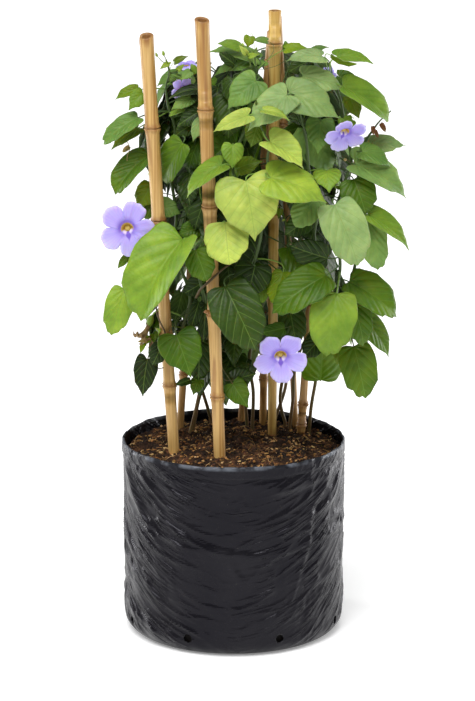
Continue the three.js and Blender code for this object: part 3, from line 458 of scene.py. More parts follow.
# Bracts and the tiniest leaves, set on the shoots without stalks, in the form of the leaf rows
BRACTS = (
    (-128, -20, 624, -137, -22, 617, 0.6, -20, 10, 30, 1, "K"),
    (170, -45, 654, 171, -48, 644, 0.6, 10, 10, 30, 1, "R"),
    (180, -42, 657, 186, -45, 647, 0.6, 10, 10, 30, 1, "R"),
    (173, -44, 649, 177, -47, 640, 0.5, 0, 10, 30, 1, "R"),
    (148, -64, 611, 142, -68, 603, 0.6, -10, 10, 30, 1, "K"),
    (152, -65, 617, 146, -69, 613, 0.6, -10, 30, 30, 1, "R"),
    (155, -64, 621, 163, -67, 615, 0.6, 10, 20, 30, 1, "R"),
    (158, -64, 624, 168, -65, 624, 0.5, 10, 20, 30, 1, "K"),
    (-104, -43, 388, -110, -50, 379, 0.7, -10, 10, 20, 0, "Y"),
    (-99, -38, 390, -97, -48, 378, 0.7, 10, 10, 20, 0, "Y"),
    (-108, -47, 385, -119, -52, 384, 0.6, -10, 20, 20, 0, "K"),
    (-112, -50, 381, -116, -54, 370, 0.6, -10, 0, 20, 0, "Y"),
    (-94, -33, 392, -90, -50, 400, 0.7, 0, 20, 20, 0, "L"),
    (127, -83, 585, 136, -87, 583, 0.5, 10, 30, 20, 0, "Y"),
    (127, -83, 585, 119, -87, 589, 0.5, -10, 30, 20, 0, "Y"),
    (58, 6, 540, 56, 2, 528, 0.7, 0, 10, 20, 0, "Y"),
    (16, -30, 741, 7, -33, 752, 0.6, -10, 20, 20, 0, "L"),
    (19, -31, 738, 31, -33, 741, 0.6, 10, 20, 20, 0, "L"),
    (-68, -24, 720, -60, -27, 728, 0.6, 10, 20, 20, 0, "L"),
    (-80, -25, 728, -90, -29, 722, 0.6, -10, 20, 20, 0, "L"),
    (-2, -96, 545, 6, -100, 538, 0.6, 10, 10, 20, 0, "L"),
)
# The bloom that has not opened, behind the canes' tops
FOLDED_BLOOM = {"centre": (117, -34, 716), "turn": 30, "lift": 20, "spin": 0, "size": 0.42}

# The camera that saw the photo: its place in mm, its pitch below level in degrees, and how many pixels of
# the photo lie in its focal length
CAMERA_PLACE = (4.87, -4000, 1369.5)
CAMERA_PITCH = 14.163
CAMERA_REACH = 3281
PHOTO_HEIGHT = 701


# Colours and materials


def linear(code):
    """A six-digit sRGB hex value as a linear colour with full alpha."""
    channels = [int(code[i : i + 2], 16) / 255 for i in (0, 2, 4)]
    return [c / 12.92 if c <= 0.04045 else ((c + 0.055) / 1.055) ** 2.4 for c in channels] + [1.0]


def feed(source, node, name):
    """Links a socket, or the main output of a node, to a named input of another node."""
    if isinstance(source, bpy.types.Node):
        source = source.outputs[2 if getattr(source, "data_type", "") == "RGBA" else 0]
    node.id_data.links.new(source, node.inputs[name])


def add_node(tree, kind, inputs=None, stops=None, **settings):
    """Adds a node with its settings, and gives each named input a value, or what feeds it."""
    made = tree.nodes.new("ShaderNode" + kind)
    for name, value in settings.items():
        setattr(made, name, value)
    for name, value in (inputs or {}).items():
        if isinstance(value, (bpy.types.Node, bpy.types.NodeSocket)):
            feed(value, made, name)
        else:
            made.inputs[name].default_value = value
    for index, (position, colour) in enumerate(stops or ()):
        ramp = made.color_ramp.elements
        stop = ramp[index] if index < 2 else ramp.new(position)
        stop.position = position
        stop.color = colour
    return made


SMOOTH = {"interpolation_type": "SMOOTHSTEP"}


def start(name, **constants):
    """A new material, what adds its nodes, and its shader with constant values on its own sockets."""
    material = bpy.data.materials.new(name)
    material.use_nodes = True
    shader = material.node_tree.nodes["Principled BSDF"]
    for socket, value in constants.items():
        shader.inputs[socket.replace("_", " ")].default_value = value
    return material, partial(add_node, material.node_tree), shader


def film_material(settings):
    """Low-density polyethylene, blown thin and dyed black, with broad highlights on its crinkles."""
    material, add, shader = start(
        "black_polyethylene_film", IOR=1.51, Specular_IOR_Level=0.18, Specular_Tint=(0.9, 0.88, 1, 1)
    )
    # The attribute holds the place on the wall, its height slanted as the folds of the wall are.
    wall = add("Attribute", attribute_name="wall")
    # Crinkles run along the folds as sharp crests, about 17 mm apart, with finer ones between.
    heights = []
    for scale in ((6, 6, 58), (16, 16, 150)):
        lying = add("Mapping", {"Vector": wall.outputs["Vector"], "Scale": scale})
        crinkle = add(
            "TexNoise", {"Vector": lying, "Scale": 1.0, "Detail": 2.0, "Roughness": 0.45, "Distortion": 0.5}
        )
        middle = add("Math", {0: crinkle, 1: 0.5}, operation="SUBTRACT")
        off = add("Math", {0: middle}, operation="ABSOLUTE")
        crest = add("MapRange", {"Value": off, "From Max": 0.12, "To Min": 1.0, "To Max": 0.0})
        heights.append(add("Math", {0: crest, 1: 1.5}, operation="POWER"))
    both = add("Math", {0: heights[1], 1: 0.3, 2: heights[0]}, operation="MULTIPLY_ADD")
    # Slack folds cross them, about 60 mm apart.
    slack = add(
        "TexNoise", {"Vector": wall.outputs["Vector"], "Scale": 17.0, "Detail": 2.0, "Distortion": 0.8}
    )
    low = add("Bump", {"Height": slack, "Strength": 0.6, "Distance": 0.006})
    # They fade out in patches, where the film is drawn tight over the compost.
    tight = add("MapRange", {"Value": slack, "From Min": 0.42, "From Max": 0.66, "To Min": 0.05}, **SMOOTH)
    aside = add("SeparateXYZ", {0: wall.outputs["Vector"]}).outputs
    off = add("Math", {0: aside[0]}, operation="ABSOLUTE")
    calm = add("MapRange", {"Value": off, "From Min": 0.02, "From Max": 0.1, "To Min": 0.4})
    shown = add("Math", {0: tight, 1: calm}, operation="MULTIPLY")
    raised = add("Math", {0: both, 1: shown}, operation="MULTIPLY")
    high = add("Bump", {"Height": raised, "Normal": low, "Strength": 0.8, "Distance": 0.0024})
    feed(high, shader, "Normal")
    # A little compost dust dulls the sheen in patches.
    place = add("TexCoord").outputs["Object"]
    dust = add("TexNoise", {"Vector": place, "Scale": 14.0, "Detail": 5.0})
    gloss = add(
        "MapRange", {"Value": dust, "From Min": 0.3, "From Max": 0.7, "To Min": 0.17, "To Max": 0.32}
    )
    feed(gloss, shader, "Roughness")
    skin = add("ValToRGB", {"Fac": dust}, stops=[(0.35, settings.film), (0.75, linear("18171A"))])
    # Specks of grit and dust, a millimetre or less across
    grit = add("TexNoise", {"Vector": place, "Scale": 900.0, "Detail": 2.0})
    speck = add("MapRange", {"Value": grit, "From Min": 0.7, "From Max": 0.78, "To Max": 0.22})
    dusted = add("Mix", {"Factor": speck, 6: skin, 7: linear("8C8478")}, data_type="RGBA")
    # Painted highlight: a pale bluish-grey band along the upper edge of the hem, broken into patches.
    height = add("SeparateXYZ", {0: place}).outputs
    edge = add("MapRange", {"Value": height[2], "From Min": 0.2415, "From Max": 0.2445, "To Max": 0.4})
    patch = add("TexNoise", {"Vector": place, "Scale": 45.0, "Detail": 3.0})
    highlight_patches = add("MapRange", {"Value": patch, "From Min": 0.44, "From Max": 0.6, "To Min": 0.08})
    rim = add("Math", {0: edge, 1: highlight_patches}, operation="MULTIPLY")
    rim_highlighted = add("Mix", {"Factor": rim, 6: dusted, 7: linear("8E949E")}, data_type="RGBA")
    feed(rim_highlighted, shader, "Base Color")
    return material


def compost_material(settings):
    """Coir and bark compost, damp and crumbly: brown fibres and dark humus, matt throughout."""
    material, add, shader = start("coir_compost", Roughness=0.92, IOR=1.35)
    place = add("TexCoord").outputs["Object"]
    # Grains from 2 to 6 mm
    grain = add("TexNoise", {"Vector": place, "Scale": 260.0, "Detail": 6.0, "Roughness": 0.7})
    lump = add("TexNoise", {"Vector": place, "Scale": 48.0, "Detail": 3.0})
    both = add("Math", {0: grain, 1: lump}, operation="MULTIPLY")
    hue = add(
        "ValToRGB",
        {"Fac": both},
        stops=[(0.12, linear("160C07")), (0.42, settings.bark), (0.25, settings.soil)],
    )
    tone = add("Attribute", attribute_name="tone")
    tinted = add("Mix", {"Factor": tone.outputs["Alpha"], 6: hue, 7: tone}, data_type="RGBA")
    speckled = add(
        "Mix",
        {"Factor": 0.55, 6: tinted, 7: grain.outputs["Color"]},
        data_type="RGBA",
        blend_type="OVERLAY",
    )
    # Painted shade: from 220 mm down to 180 mm the compost darkens to nearly black, as the shade deep in the
    # bag shows through its drain holes.
    axes = add("SeparateXYZ", {0: place}).outputs
    depth = add("MapRange", {"Value": axes[2], "From Min": 0.18, "From Max": 0.22, "To Min": 0.08})
    painted_deep_shade = add("HueSaturation", {"Saturation": 0.95, "Value": depth, "Color": speckled})
    feed(painted_deep_shade, shader, "Base Color")
    bump = add("Bump", {"Height": grain, "Strength": 0.8, "Distance": 0.003})
    feed(bump, shader, "Normal")
    return material


def bamboo_material(name, pale, deep, settings):
    """Dried bamboo: a hard satin skin over straight fibres, stained brown at the rings and the cut, with
    painted shade in the bore.
    """
    material, add, shader = start(name, Roughness=0.42, IOR=1.5)
    place = add("TexCoord").outputs["Object"]
    # Fibres about 1.5 mm wide and 200 mm long, coarser than real ones so that they show
    fibre_place = add("Mapping", {"Vector": place, "Scale": (420, 420, 5)})
    fibre = add("TexNoise", {"Vector": fibre_place, "Scale": 1.0, "Detail": 4.0})
    patch_place = add("Mapping", {"Vector": place, "Scale": (55, 55, 9)})
    patch = add("TexNoise", {"Vector": patch_place, "Scale": 1.0, "Detail": 3.0})
    both = add("Mix", {"Factor": 0.4, 2: fibre, 3: patch})
    skin = add("ValToRGB", {"Fac": both}, stops=[(0.38, deep), (0.6, pale)])
    stain = add("Attribute", attribute_name="stain")
    mottled = add("Math", {0: stain.outputs["Fac"], 1: patch}, operation="MULTIPLY")
    strength = add("MapRange", {"Value": mottled, "From Min": 0.1, "From Max": 0.55, "To Max": 0.9})
    stained = add("Mix", {"Factor": strength, 6: skin, 7: settings.stain}, data_type="RGBA")
    feed(stained, shader, "Base Color")
    bump = add("Bump", {"Height": fibre, "Strength": 0.35, "Distance": 0.0006})
    feed(bump, shader, "Normal")
    return material


def leaf_material(name, settings, under):
    """Living leaf, thin and lightly waxed: sunken veins that run from the stalk, quilted skin between."""
    material, add, shader = start(
        name,
        Roughness=0.62 if under else 0.44,
        IOR=1.42,
        Specular_IOR_Level=0.3,
        Subsurface_Weight=0.12,
        Subsurface_Scale=0.002,
    )
    # The map counts the side veins, whole numbers lying on them, and gives centimetres from the midrib.
    blade = add("UVMap", uv_map="blade")
    axes = add("SeparateXYZ", {0: blade}).outputs
    beside = add("Math", {0: axes[0], 1: 0.5}, operation="PINGPONG")
    side = add(
        "MapRange",
        {"Value": beside, "From Min": 0.012, "From Max": 0.06, "To Min": 0.7, "To Max": 0.0},
        **SMOOTH,
    )
    main = add(
        "MapRange",
        {"Value": axes[1], "From Min": 0.02, "From Max": 0.07, "To Min": 0.9, "To Max": 0.0},
        **SMOOTH,
    )
    veins = add("Math", {0: main, 1: side}, operation="MAXIMUM")
    tone = add("Attribute", attribute_name="tone")
    place = add("TexCoord").outputs["Object"]
    cloud = add("TexNoise", {"Vector": place, "Scale": 34.0, "Detail": 4.0, "Roughness": 0.6})
    value = add(
        "MapRange", {"Value": cloud, "From Min": 0.3, "From Max": 0.7, "To Min": 0.74, "To Max": 1.26}
    )
    hue = add(
        "MapRange", {"Value": cloud, "From Min": 0.3, "From Max": 0.7, "To Min": 0.512, "To Max": 0.488}
    )
    clouded = add("HueSaturation", {"Hue": hue, "Color": tone, "Value": value})
    pale = add("Mix", {"Factor": 0.65, 6: clouded, 7: settings.vein}, data_type="RGBA")
    marked = add("Math", {0: veins, 1: 0.85 if under else 0.75}, operation="MULTIPLY")
    skin = add("Mix", {"Factor": marked, 6: clouded, 7: pale}, data_type="RGBA")
    if under:
        skin = add("Mix", {"Factor": 0.3, 6: skin, 7: linear("9BB58A")}, data_type="RGBA")
    feed(skin, shader, "Base Color")
    # The skin is puffed up between the veins, and the finest ones net it into cells 3 mm wide.
    from_side = add("MapRange", {"Value": beside, "From Max": 0.45}, interpolation_type="SMOOTHERSTEP")
    from_main = add("MapRange", {"Value": axes[1], "From Max": 0.6}, interpolation_type="SMOOTHERSTEP")
    puffed = add("Math", {0: from_main, 1: from_side}, operation="MULTIPLY")
    net = add("TexVoronoi", {"Vector": place, "Scale": 330.0}, feature="SMOOTH_F1")
    relief = add("Math", {0: puffed, 1: -1.9 if under else 1.9, 2: net}, operation="MULTIPLY_ADD")
    bump = add("Bump", {"Height": relief, "Strength": 0.45, "Distance": 0.0009})
    feed(bump, shader, "Normal")
    return material


def stem_material(settings):
    """Climbing stem: smooth green at the top, corky and tan where it is old near the compost."""
    material, add, shader = start("climbing_stem", Roughness=0.5, IOR=1.42)
    place = add("TexCoord").outputs["Object"]
    axes = add("SeparateXYZ", {0: place}).outputs
    age_place = add("Mapping", {"Vector": place, "Scale": (160, 160, 40)})
    bark = add("TexNoise", {"Vector": age_place, "Scale": 1.0, "Detail": 4.0})
    # The cork fades out between 270 and 440 mm above the floor.
    age = add(
        "MapRange", {"Value": axes[2], "From Min": 0.27, "From Max": 0.44, "To Min": 1.7, "To Max": 0.0}
    )
    corked = add("Math", {0: age, 1: bark}, operation="MULTIPLY")
    tone = add("Attribute", attribute_name="tone")
    skin = add("Mix", {"Factor": corked, 6: tone, 7: settings.cork}, data_type="RGBA")
    feed(skin, shader, "Base Color")
    bump = add("Bump", {"Height": bark, "Strength": 0.5, "Distance": 0.0008})
    feed(bump, shader, "Normal")
    return material


def petal_material(settings):
    """Fresh petal: thin, matt, ochre down the throat, violet round it, finely veined and paler outwards."""
    material, add, shader = start(
        "fresh_petal", Roughness=0.6, IOR=1.38, Subsurface_Weight=0.15, Subsurface_Scale=0.002
    )
    # The map runs round the bloom from its lowest lobe, and from the foot of the tube out to the edge.
    petal = add("UVMap", uv_map="petal")
    axes = add("SeparateXYZ", {0: petal}).outputs
    roof = add(
        "ValToRGB",
        {"Fac": axes[1]},
        stops=[
            (0.0, linear("D9CFA0")),
            (1.0, settings.petal_edge),
            (0.3, linear("B0901E")),
            (0.42, settings.throat),
            (0.5, linear("C9AE4A")),
            (0.525, settings.violet),
            (0.6, settings.violet),
            (0.72, settings.petal),
            (0.9, settings.petal),
        ],
    )
    # The lower half of the throat is pale instead, turning violet at its lip.
    lower = add(
        "ValToRGB",
        {"Fac": axes[1]},
        stops=[
            (0.2, linear("C9BC96")),
            (0.4, linear("DCD0EC")),
            (0.5, settings.violet),
            (0.72, settings.petal),
            (1.0, settings.petal_edge),
        ],
    )
    below = add("Math", {0: axes[0], 1: 0.5}, operation="PINGPONG")
    upper = add("MapRange", {"Value": below, "From Min": 0.17, "From Max": 0.26}, **SMOOTH)
    skin = add("Mix", {"Factor": upper, 6: lower, 7: roof}, data_type="RGBA")
    # Fine veins run out to the edge, nine in each lobe.
    rays = add("Math", {0: axes[0], 1: 45.0}, operation="MULTIPLY")
    ray = add("Math", {0: rays, 1: 0.5}, operation="PINGPONG")
    line = add("MapRange", {"Value": ray, "From Max": 0.2, "To Min": 0.14, "To Max": 0.0}, **SMOOTH)
    veined = add("Mix", {"Factor": line, 6: skin, 7: settings.violet}, data_type="RGBA")
    # The lowest lobe is paler, and carries a violet streak that narrows on its way out of the throat.
    inner = add(
        "MapRange",
        {"Value": axes[1], "From Min": 0.64, "From Max": 0.74, "To Min": 1.0, "To Max": 0.0},
        **SMOOTH,
    )
    ridge = add(
        "MapRange",
        {"Value": below, "From Min": 0.06, "From Max": 0.13, "To Min": 0.35, "To Max": 0.0},
        **SMOOTH,
    )
    pale = add("Math", {0: ridge, 1: inner}, operation="MULTIPLY")
    lipped = add("Mix", {"Factor": pale, 6: veined, 7: linear("CFC3F0")}, data_type="RGBA")
    taper = add("MapRange", {"Value": axes[1], "From Min": 0.52, "From Max": 0.74, "To Max": 0.085})
    tapered = add("Math", {0: taper, 1: below}, operation="ADD")
    middle = add(
        "MapRange",
        {"Value": tapered, "From Min": 0.045, "From Max": 0.085, "To Min": 0.9, "To Max": 0.0},
        **SMOOTH,
    )
    streaked = add("Mix", {"Factor": middle, 6: lipped, 7: settings.streak}, data_type="RGBA")
    feed(streaked, shader, "Base Color")
    bump = add("Bump", {"Height": line, "Strength": 0.3, "Distance": 0.0006})
    feed(bump, shader, "Normal")
    return material


def withered_material():
    """Withered petal: papery, tan with brown wrinkles."""
    material, add, shader = start("withered_petal", Roughness=0.8, IOR=1.4)
    place = add("TexCoord").outputs["Object"]
    wrinkle = add("TexNoise", {"Vector": place, "Scale": 180.0, "Detail": 4.0, "Distortion": 1.0})
    skin = add("ValToRGB", {"Fac": wrinkle}, stops=[(0.3, linear("5C4228")), (0.7, linear("A88A5E"))])
    feed(skin, shader, "Base Color")
    bump = add("Bump", {"Height": wrinkle, "Strength": 0.7, "Distance": 0.001})
    feed(bump, shader, "Normal")
    return material


def anther_material():
    """Anther: waxy and yellow, dusted with paler pollen."""
    material, add, shader = start("waxy_anther", Roughness=0.5, IOR=1.45)
    place = add("TexCoord").outputs["Object"]
    pollen = add("TexNoise", {"Vector": place, "Scale": 1200.0})
    skin = add("ValToRGB", {"Fac": pollen}, stops=[(0.35, linear("B7972A")), (0.7, linear("D9C67C"))])
    feed(skin, shader, "Base Color")
    return material


def floor_material(settings):
    """White acrylic of a light table, lit from below: an even white floor on which shadows stay faint."""
    material, _, shader = start("backlit_white_acrylic", Roughness=0.9)
    shader.inputs["Base Color"].default_value = settings.floor
    shader.inputs["Emission Color"].default_value = settings.floor
    shader.inputs["Emission Strength"].default_value = settings.glow
    return material


# Shapes


def smoothstep(low, high, value):
    """The smooth ramp from 0 at low to 1 at high."""
    share = min(1, max(0, (value - low) / (high - low)))
    return share * share * (3 - 2 * share)


def moved(bm, matrix):
    """Moves a whole shape."""
    bmesh.ops.transform(bm, matrix=matrix, verts=bm.verts)


def turned(profile, steps):
    """A closed shape from a profile of (radius, height), turned round the Z axis."""
    bm = bmesh.new()
    verts = [bm.verts.new((radius, 0, z)) for radius, z in profile]
    edges = [bm.edges.new(pair) for pair in zip(verts, verts[1:])]
    bmesh.ops.spin(
        bm, geom=verts + edges, axis=(0, 0, 1), cent=(0, 0, 0), angle=TURN, steps=steps, use_merge=True
    )
    bmesh.ops.remove_doubles(bm, verts=bm.verts, dist=1e-4)
    bmesh.ops.recalc_face_normals(bm, faces=bm.faces)
    return bm


def swept(points, radii, sides):
    """A closed tube along a line of points, with a radius at each of them."""
    bm = bmesh.new()
    ring = bmesh.ops.create_circle(bm, cap_ends=True, segments=sides, radius=radii[0])["verts"]
    edges = bm.edges[:]
    heading = (points[1] - points[0]).normalized()
    turn = heading.to_track_quat("Z", "Y").to_matrix().to_4x4()
    bmesh.ops.transform(bm, matrix=Matrix.Translation(points[0]) @ turn, verts=ring)
    for i in range(1, len(points)):
        made = bmesh.ops.extrude_edge_only(bm, edges=edges)["geom"]
        ring = [g for g in made if isinstance(g, bmesh.types.BMVert)]
        edges = [g for g in made if isinstance(g, bmesh.types.BMEdge)]
        ahead = (points[min(i + 1, len(points) - 1)] - points[i - 1]).normalized()
        move = Matrix.Translation(points[i]) @ heading.rotation_difference(ahead).to_matrix().to_4x4()
        move @= Matrix.Scale(radii[i] / radii[i - 1], 4) @ Matrix.Translation(-points[i - 1])
        bmesh.ops.transform(bm, matrix=move, verts=ring)
        heading = ahead
    bmesh.ops.contextual_create(bm, geom=edges)
    bmesh.ops.recalc_face_normals(bm, faces=bm.faces)
    return bm


def bowed(first, middle, last, count):
    """Points on the bow from first to last that sets out and arrives towards middle."""
    shares = [i / count for i in range(count + 1)]
    return [first * (1 - s) ** 2 + middle * (2 * s * (1 - s)) + last * (s * s) for s in shares]


def paint(bm, colour, alpha=1.0):
    """Gives every vertex the piece's tone."""
    tone = bm.verts.layers.float_color.new("tone")
    for vert in bm.verts:
        vert[tone] = (*colour[:3], alpha)


def join(whole, part, slot=0):
    """Adds a small shape to a larger one, with one of its materials."""
    for face in part.faces:
        face.smooth = True
        face.material_index += slot
    mesh = bpy.data.meshes.new("part")
    part.to_mesh(mesh)
    part.free()
    whole.from_mesh(mesh)
    bpy.data.meshes.remove(mesh)


def finish_piece(bm, name, materials, slot, *nodes):
    """Scales a shape to metres and makes it a piece that rides on the only body, in place of its nodes."""
    bmesh.ops.scale(bm, vec=(MM, MM, MM), verts=bm.verts)
    mesh = bpy.data.meshes.new(name)
    bm.to_mesh(mesh)
    bm.free()
    for material in materials:
        mesh.materials.append(material)
    piece = bpy.data.objects.new(name, mesh)
    bpy.context.scene.collection.objects.link(piece)
    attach(piece, "root")
    if nodes:
        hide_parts(*nodes)
    return piece


# Grow bag


def film_push(angle, z):
    """The slack of the wall, as in the solid: how far the film stands out at an angle and a height."""
    rise = smoothstep(BAG_CORNER, 90, z)
    fall = 1 - smoothstep(190, BAG_HEIGHT, z)
    flare = 0.5 * smoothstep(120, BAG_HEIGHT - HEM_HEIGHT, z)
    folds = 0.8 * sin(3 * angle + 1.1 + z / 90) + 0.5 * sin(7 * angle - z / 55)
    return flare + rise * (0.35 + 0.65 * fall) * folds


def fold_height(angle, z):
    """The height that fine folds follow: they slant up, away from the middle of the front and the back."""
    aside = asin(min(1, abs(cos(angle))))
    return z - BAG_RADIUS * (0.12 * aside + 0.26 * aside * aside)


def crease_push(angle, z):
    """Each crease is a sharp ridge of slack film, with a shallow valley under it."""
    azimuth = degrees(angle) + 90
    push = 0
    for (start_azimuth, start_z), (end_azimuth, end_z), depth in CREASES:
        off = (azimuth - start_azimuth + 180) % 360 - 180
        across = radians(off) * BAG_RADIUS
        run = radians(end_azimuth - start_azimuth) * BAG_RADIUS
        length = hypot(run, end_z - start_z)
        ahead = (across * run + (z - start_z) * (end_z - start_z)) / length
        aside = (across * (end_z - start_z) - (z - start_z) * run) / length
        aside += 4 * noise.noise(Vector((ahead / 30, start_azimuth, 0)))
        ends = smoothstep(-12, 14, ahead) * (1 - smoothstep(length - 16, length + 12, ahead))
        ridge = exp(0.6 - hypot(aside, 2.6) / 4.2)
        push += ends * depth * (2.0 * ridge - 0.9 * exp(-(((aside + 7) / 5) ** 2)))
    return push


def wrinkle_push(angle, z):
    """Sharp-crested folds of the slack film, higher near the sides than in the middle of the front."""
    level = fold_height(angle, z)
    x, y = BAG_RADIUS * cos(angle), BAG_RADIUS * sin(angle)
    folds = 1 - 2 * abs(noise.noise(Vector((x / 75, y / 75, level / 20))))
    fine = 1 - 2 * abs(noise.noise(Vector((x / 42, y / 42, level / 10 + 7))))
    strength = 0.2 + 0.9 * abs(cos(angle)) + 0.5 * noise.noise(Vector((x / 70, y / 70, z / 60)))
    return max(0.1, strength) * (1.6 * folds**2 + 0.7 * fine**2 - 0.9)


def grow_bag_shape(settings):
    """The film bag: a slack, creased wall with a rounded foot and a folded hem."""
    wall = settings.film_thickness / MM
    inner = BAG_RADIUS - wall
    hem_foot = BAG_HEIGHT - HEM_HEIGHT
    outer = BAG_RADIUS + HEM_FOLD
    centre = BAG_RADIUS - BAG_CORNER
    profile = [(centre * i / 8, 0) for i in range(8)]
    for i in range(13):
        turn = radians(90 * i / 12)
        profile.append((centre + BAG_CORNER * sin(turn), BAG_CORNER * (1 - cos(turn))))
    rows = round((hem_foot - BAG_CORNER) / 1.8)
    wall_height = hem_foot - 2 - BAG_CORNER
    profile += [(BAG_RADIUS, BAG_CORNER + wall_height * i / rows) for i in range(1, rows + 1)]
    profile += [(outer - 1, hem_foot - 0.6), (outer - 0.4, hem_foot + 0.6), (outer, hem_foot + 2.5)]
    profile += [(outer, hem_foot + 5), (outer, BAG_HEIGHT - 5)]
    for i in range(1, 9):
        turn = radians(90 * i / 8)
        reach = outer - inner - 0.6
        profile.append((inner + 0.6 + reach * cos(turn), BAG_HEIGHT - 5 + 4.9 * sin(turn)))
    profile += [(inner + 0.2, BAG_HEIGHT - 0.6), (inner, BAG_HEIGHT - 2)]
    profile += [(inner, BAG_HEIGHT - 2 - 3 * i) for i in range(1, 10)]
    profile += [(inner, 120), (inner, BAG_CORNER), (inner - 8, wall + 3), (centre, wall), (0, wall)]
    bm = turned(profile, 400)
    place = bm.verts.layers.float_vector.new("wall")
    for vert in bm.verts:
        radius = hypot(vert.co.x, vert.co.y)
        angle = atan2(vert.co.y, vert.co.x)
        z = vert.co.z
        vert[place] = Vector((vert.co.x, vert.co.y, fold_height(angle, z))) * MM
        if radius < centre:
            continue
        push = film_push(angle, z)
        outside = radius > BAG_RADIUS - 0.1 or z < BAG_CORNER and radius > centre
        loose = smoothstep(0, 26, z) * (1 - 0.7 * smoothstep(hem_foot - 8, hem_foot, z))
        if outside:
            push += loose * (crease_push(angle, z) + settings.crinkle / MM * wrinkle_push(angle, z))
        elif z > SOIL_EDGE - 5:
            push += 0.6 * settings.crinkle / MM * wrinkle_push(angle + 0.3, z)
        if z > hem_foot:
            # The hem is drawn in at its welds and stands a little higher between them.
            pucker = noise.noise(Vector((angle * 4, 3.3, 0)))
            pucker += 0.5 * noise.noise(Vector((angle * 11, 5, 0)))
            crimp = 1 - 2 * abs(noise.noise(Vector((angle * 17, z / 8, 2))))
            push += 1.1 * pucker + 0.5 * crimp
            vert.co.z += 1.3 * pucker * smoothstep(hem_foot, BAG_HEIGHT, z) - 0.9
        scale = 1 + push / radius
        vert.co.x *= scale
        vert.co.y *= scale
    return bm


def drain_cutter():
    """Eight short plugs that punch the drain holes."""
    whole = bmesh.new()
    for side in (-1, 1):
        for azimuth in DRAIN_AZIMUTHS:
            turn = radians(side * azimuth)
            place = Matrix.Rotation(turn, 4, "Z") @ Matrix.Translation((0, -BAG_RADIUS, DRAIN_HEIGHT))
            place @= Matrix.Rotation(radians(90), 4, "X")
            plug = bmesh.new()
            bmesh.ops.create_cone(
                plug,
                cap_ends=True,
                segments=20,
                radius1=DRAIN_RADIUS,
                radius2=DRAIN_RADIUS * 0.92,
                depth=30,
                matrix=place,
            )
            join(whole, plug)
    mesh = bpy.data.meshes.new("drain_plugs")
    bmesh.ops.scale(whole, vec=(MM, MM, MM), verts=whole.verts)
    whole.to_mesh(mesh)
    whole.free()
    plugs = bpy.data.objects.new("drain_plugs", mesh)
    bpy.context.scene.collection.objects.link(plugs)
    return plugs


def apply_modifiers(piece):
    """Keeps the shape that a piece's modifiers give, and drops the modifiers."""
    graph = bpy.context.evaluated_depsgraph_get()
    made = bpy.data.meshes.new_from_object(piece.evaluated_get(graph))
    old = piece.data
    piece.modifiers.clear()
    piece.data = made
    bpy.data.meshes.remove(old)
    made.name = piece.name


# Compost


def soil_height(x, y):
    """The height of the compost, as in the solid."""
    radius = min(1, hypot(x, y) / BAG_RADIUS)
    heap = SOIL_CROWN * (1 - radius * radius)
    lumps = 1.6 * sin(x / 9 + 1) * cos(y / 8) + 1.2 * sin(y / 17 + x / 23)
    return SOIL_EDGE + heap + lumps * (1 - radius**4)


def crumbled(x, y):
    """The height of the crumbled surface."""
    place = Vector((x, y, 0))
    lumps = 5.6 * noise.noise(place / 19) + 5.0 * abs(noise.noise(place / 9 + Vector((9, 2, 0))))
    return soil_height(x, y) + lumps + 1.7 * noise.noise(place / 3.3) - 0.9


def compost_shape():
    """The body of compost, which fills the bag and is crumbled on top."""
    side = BAG_RADIUS - 2.6
    profile = [(0, 3), (side - BAG_CORNER, 3), (side - 6, BAG_CORNER - 12)]
    profile += [(side, BAG_CORNER + 4), (side, 200)]
    rings = 62
    profile += [(side * (1 - i / rings), SOIL_EDGE) for i in range(rings + 1)]
    bm = turned(profile, 240)
    for vert in bm.verts:
        if vert.co.z > SOIL_EDGE - 1:
            vert.co.z = crumbled(vert.co.x, vert.co.y)
        elif vert.co.z > BAG_CORNER:
            push = film_push(atan2(vert.co.y, vert.co.x), vert.co.z) - 0.5
            vert.co.xy *= 1 + push / side
    paint(bm, (0, 0, 0), 0.0)
    return bm


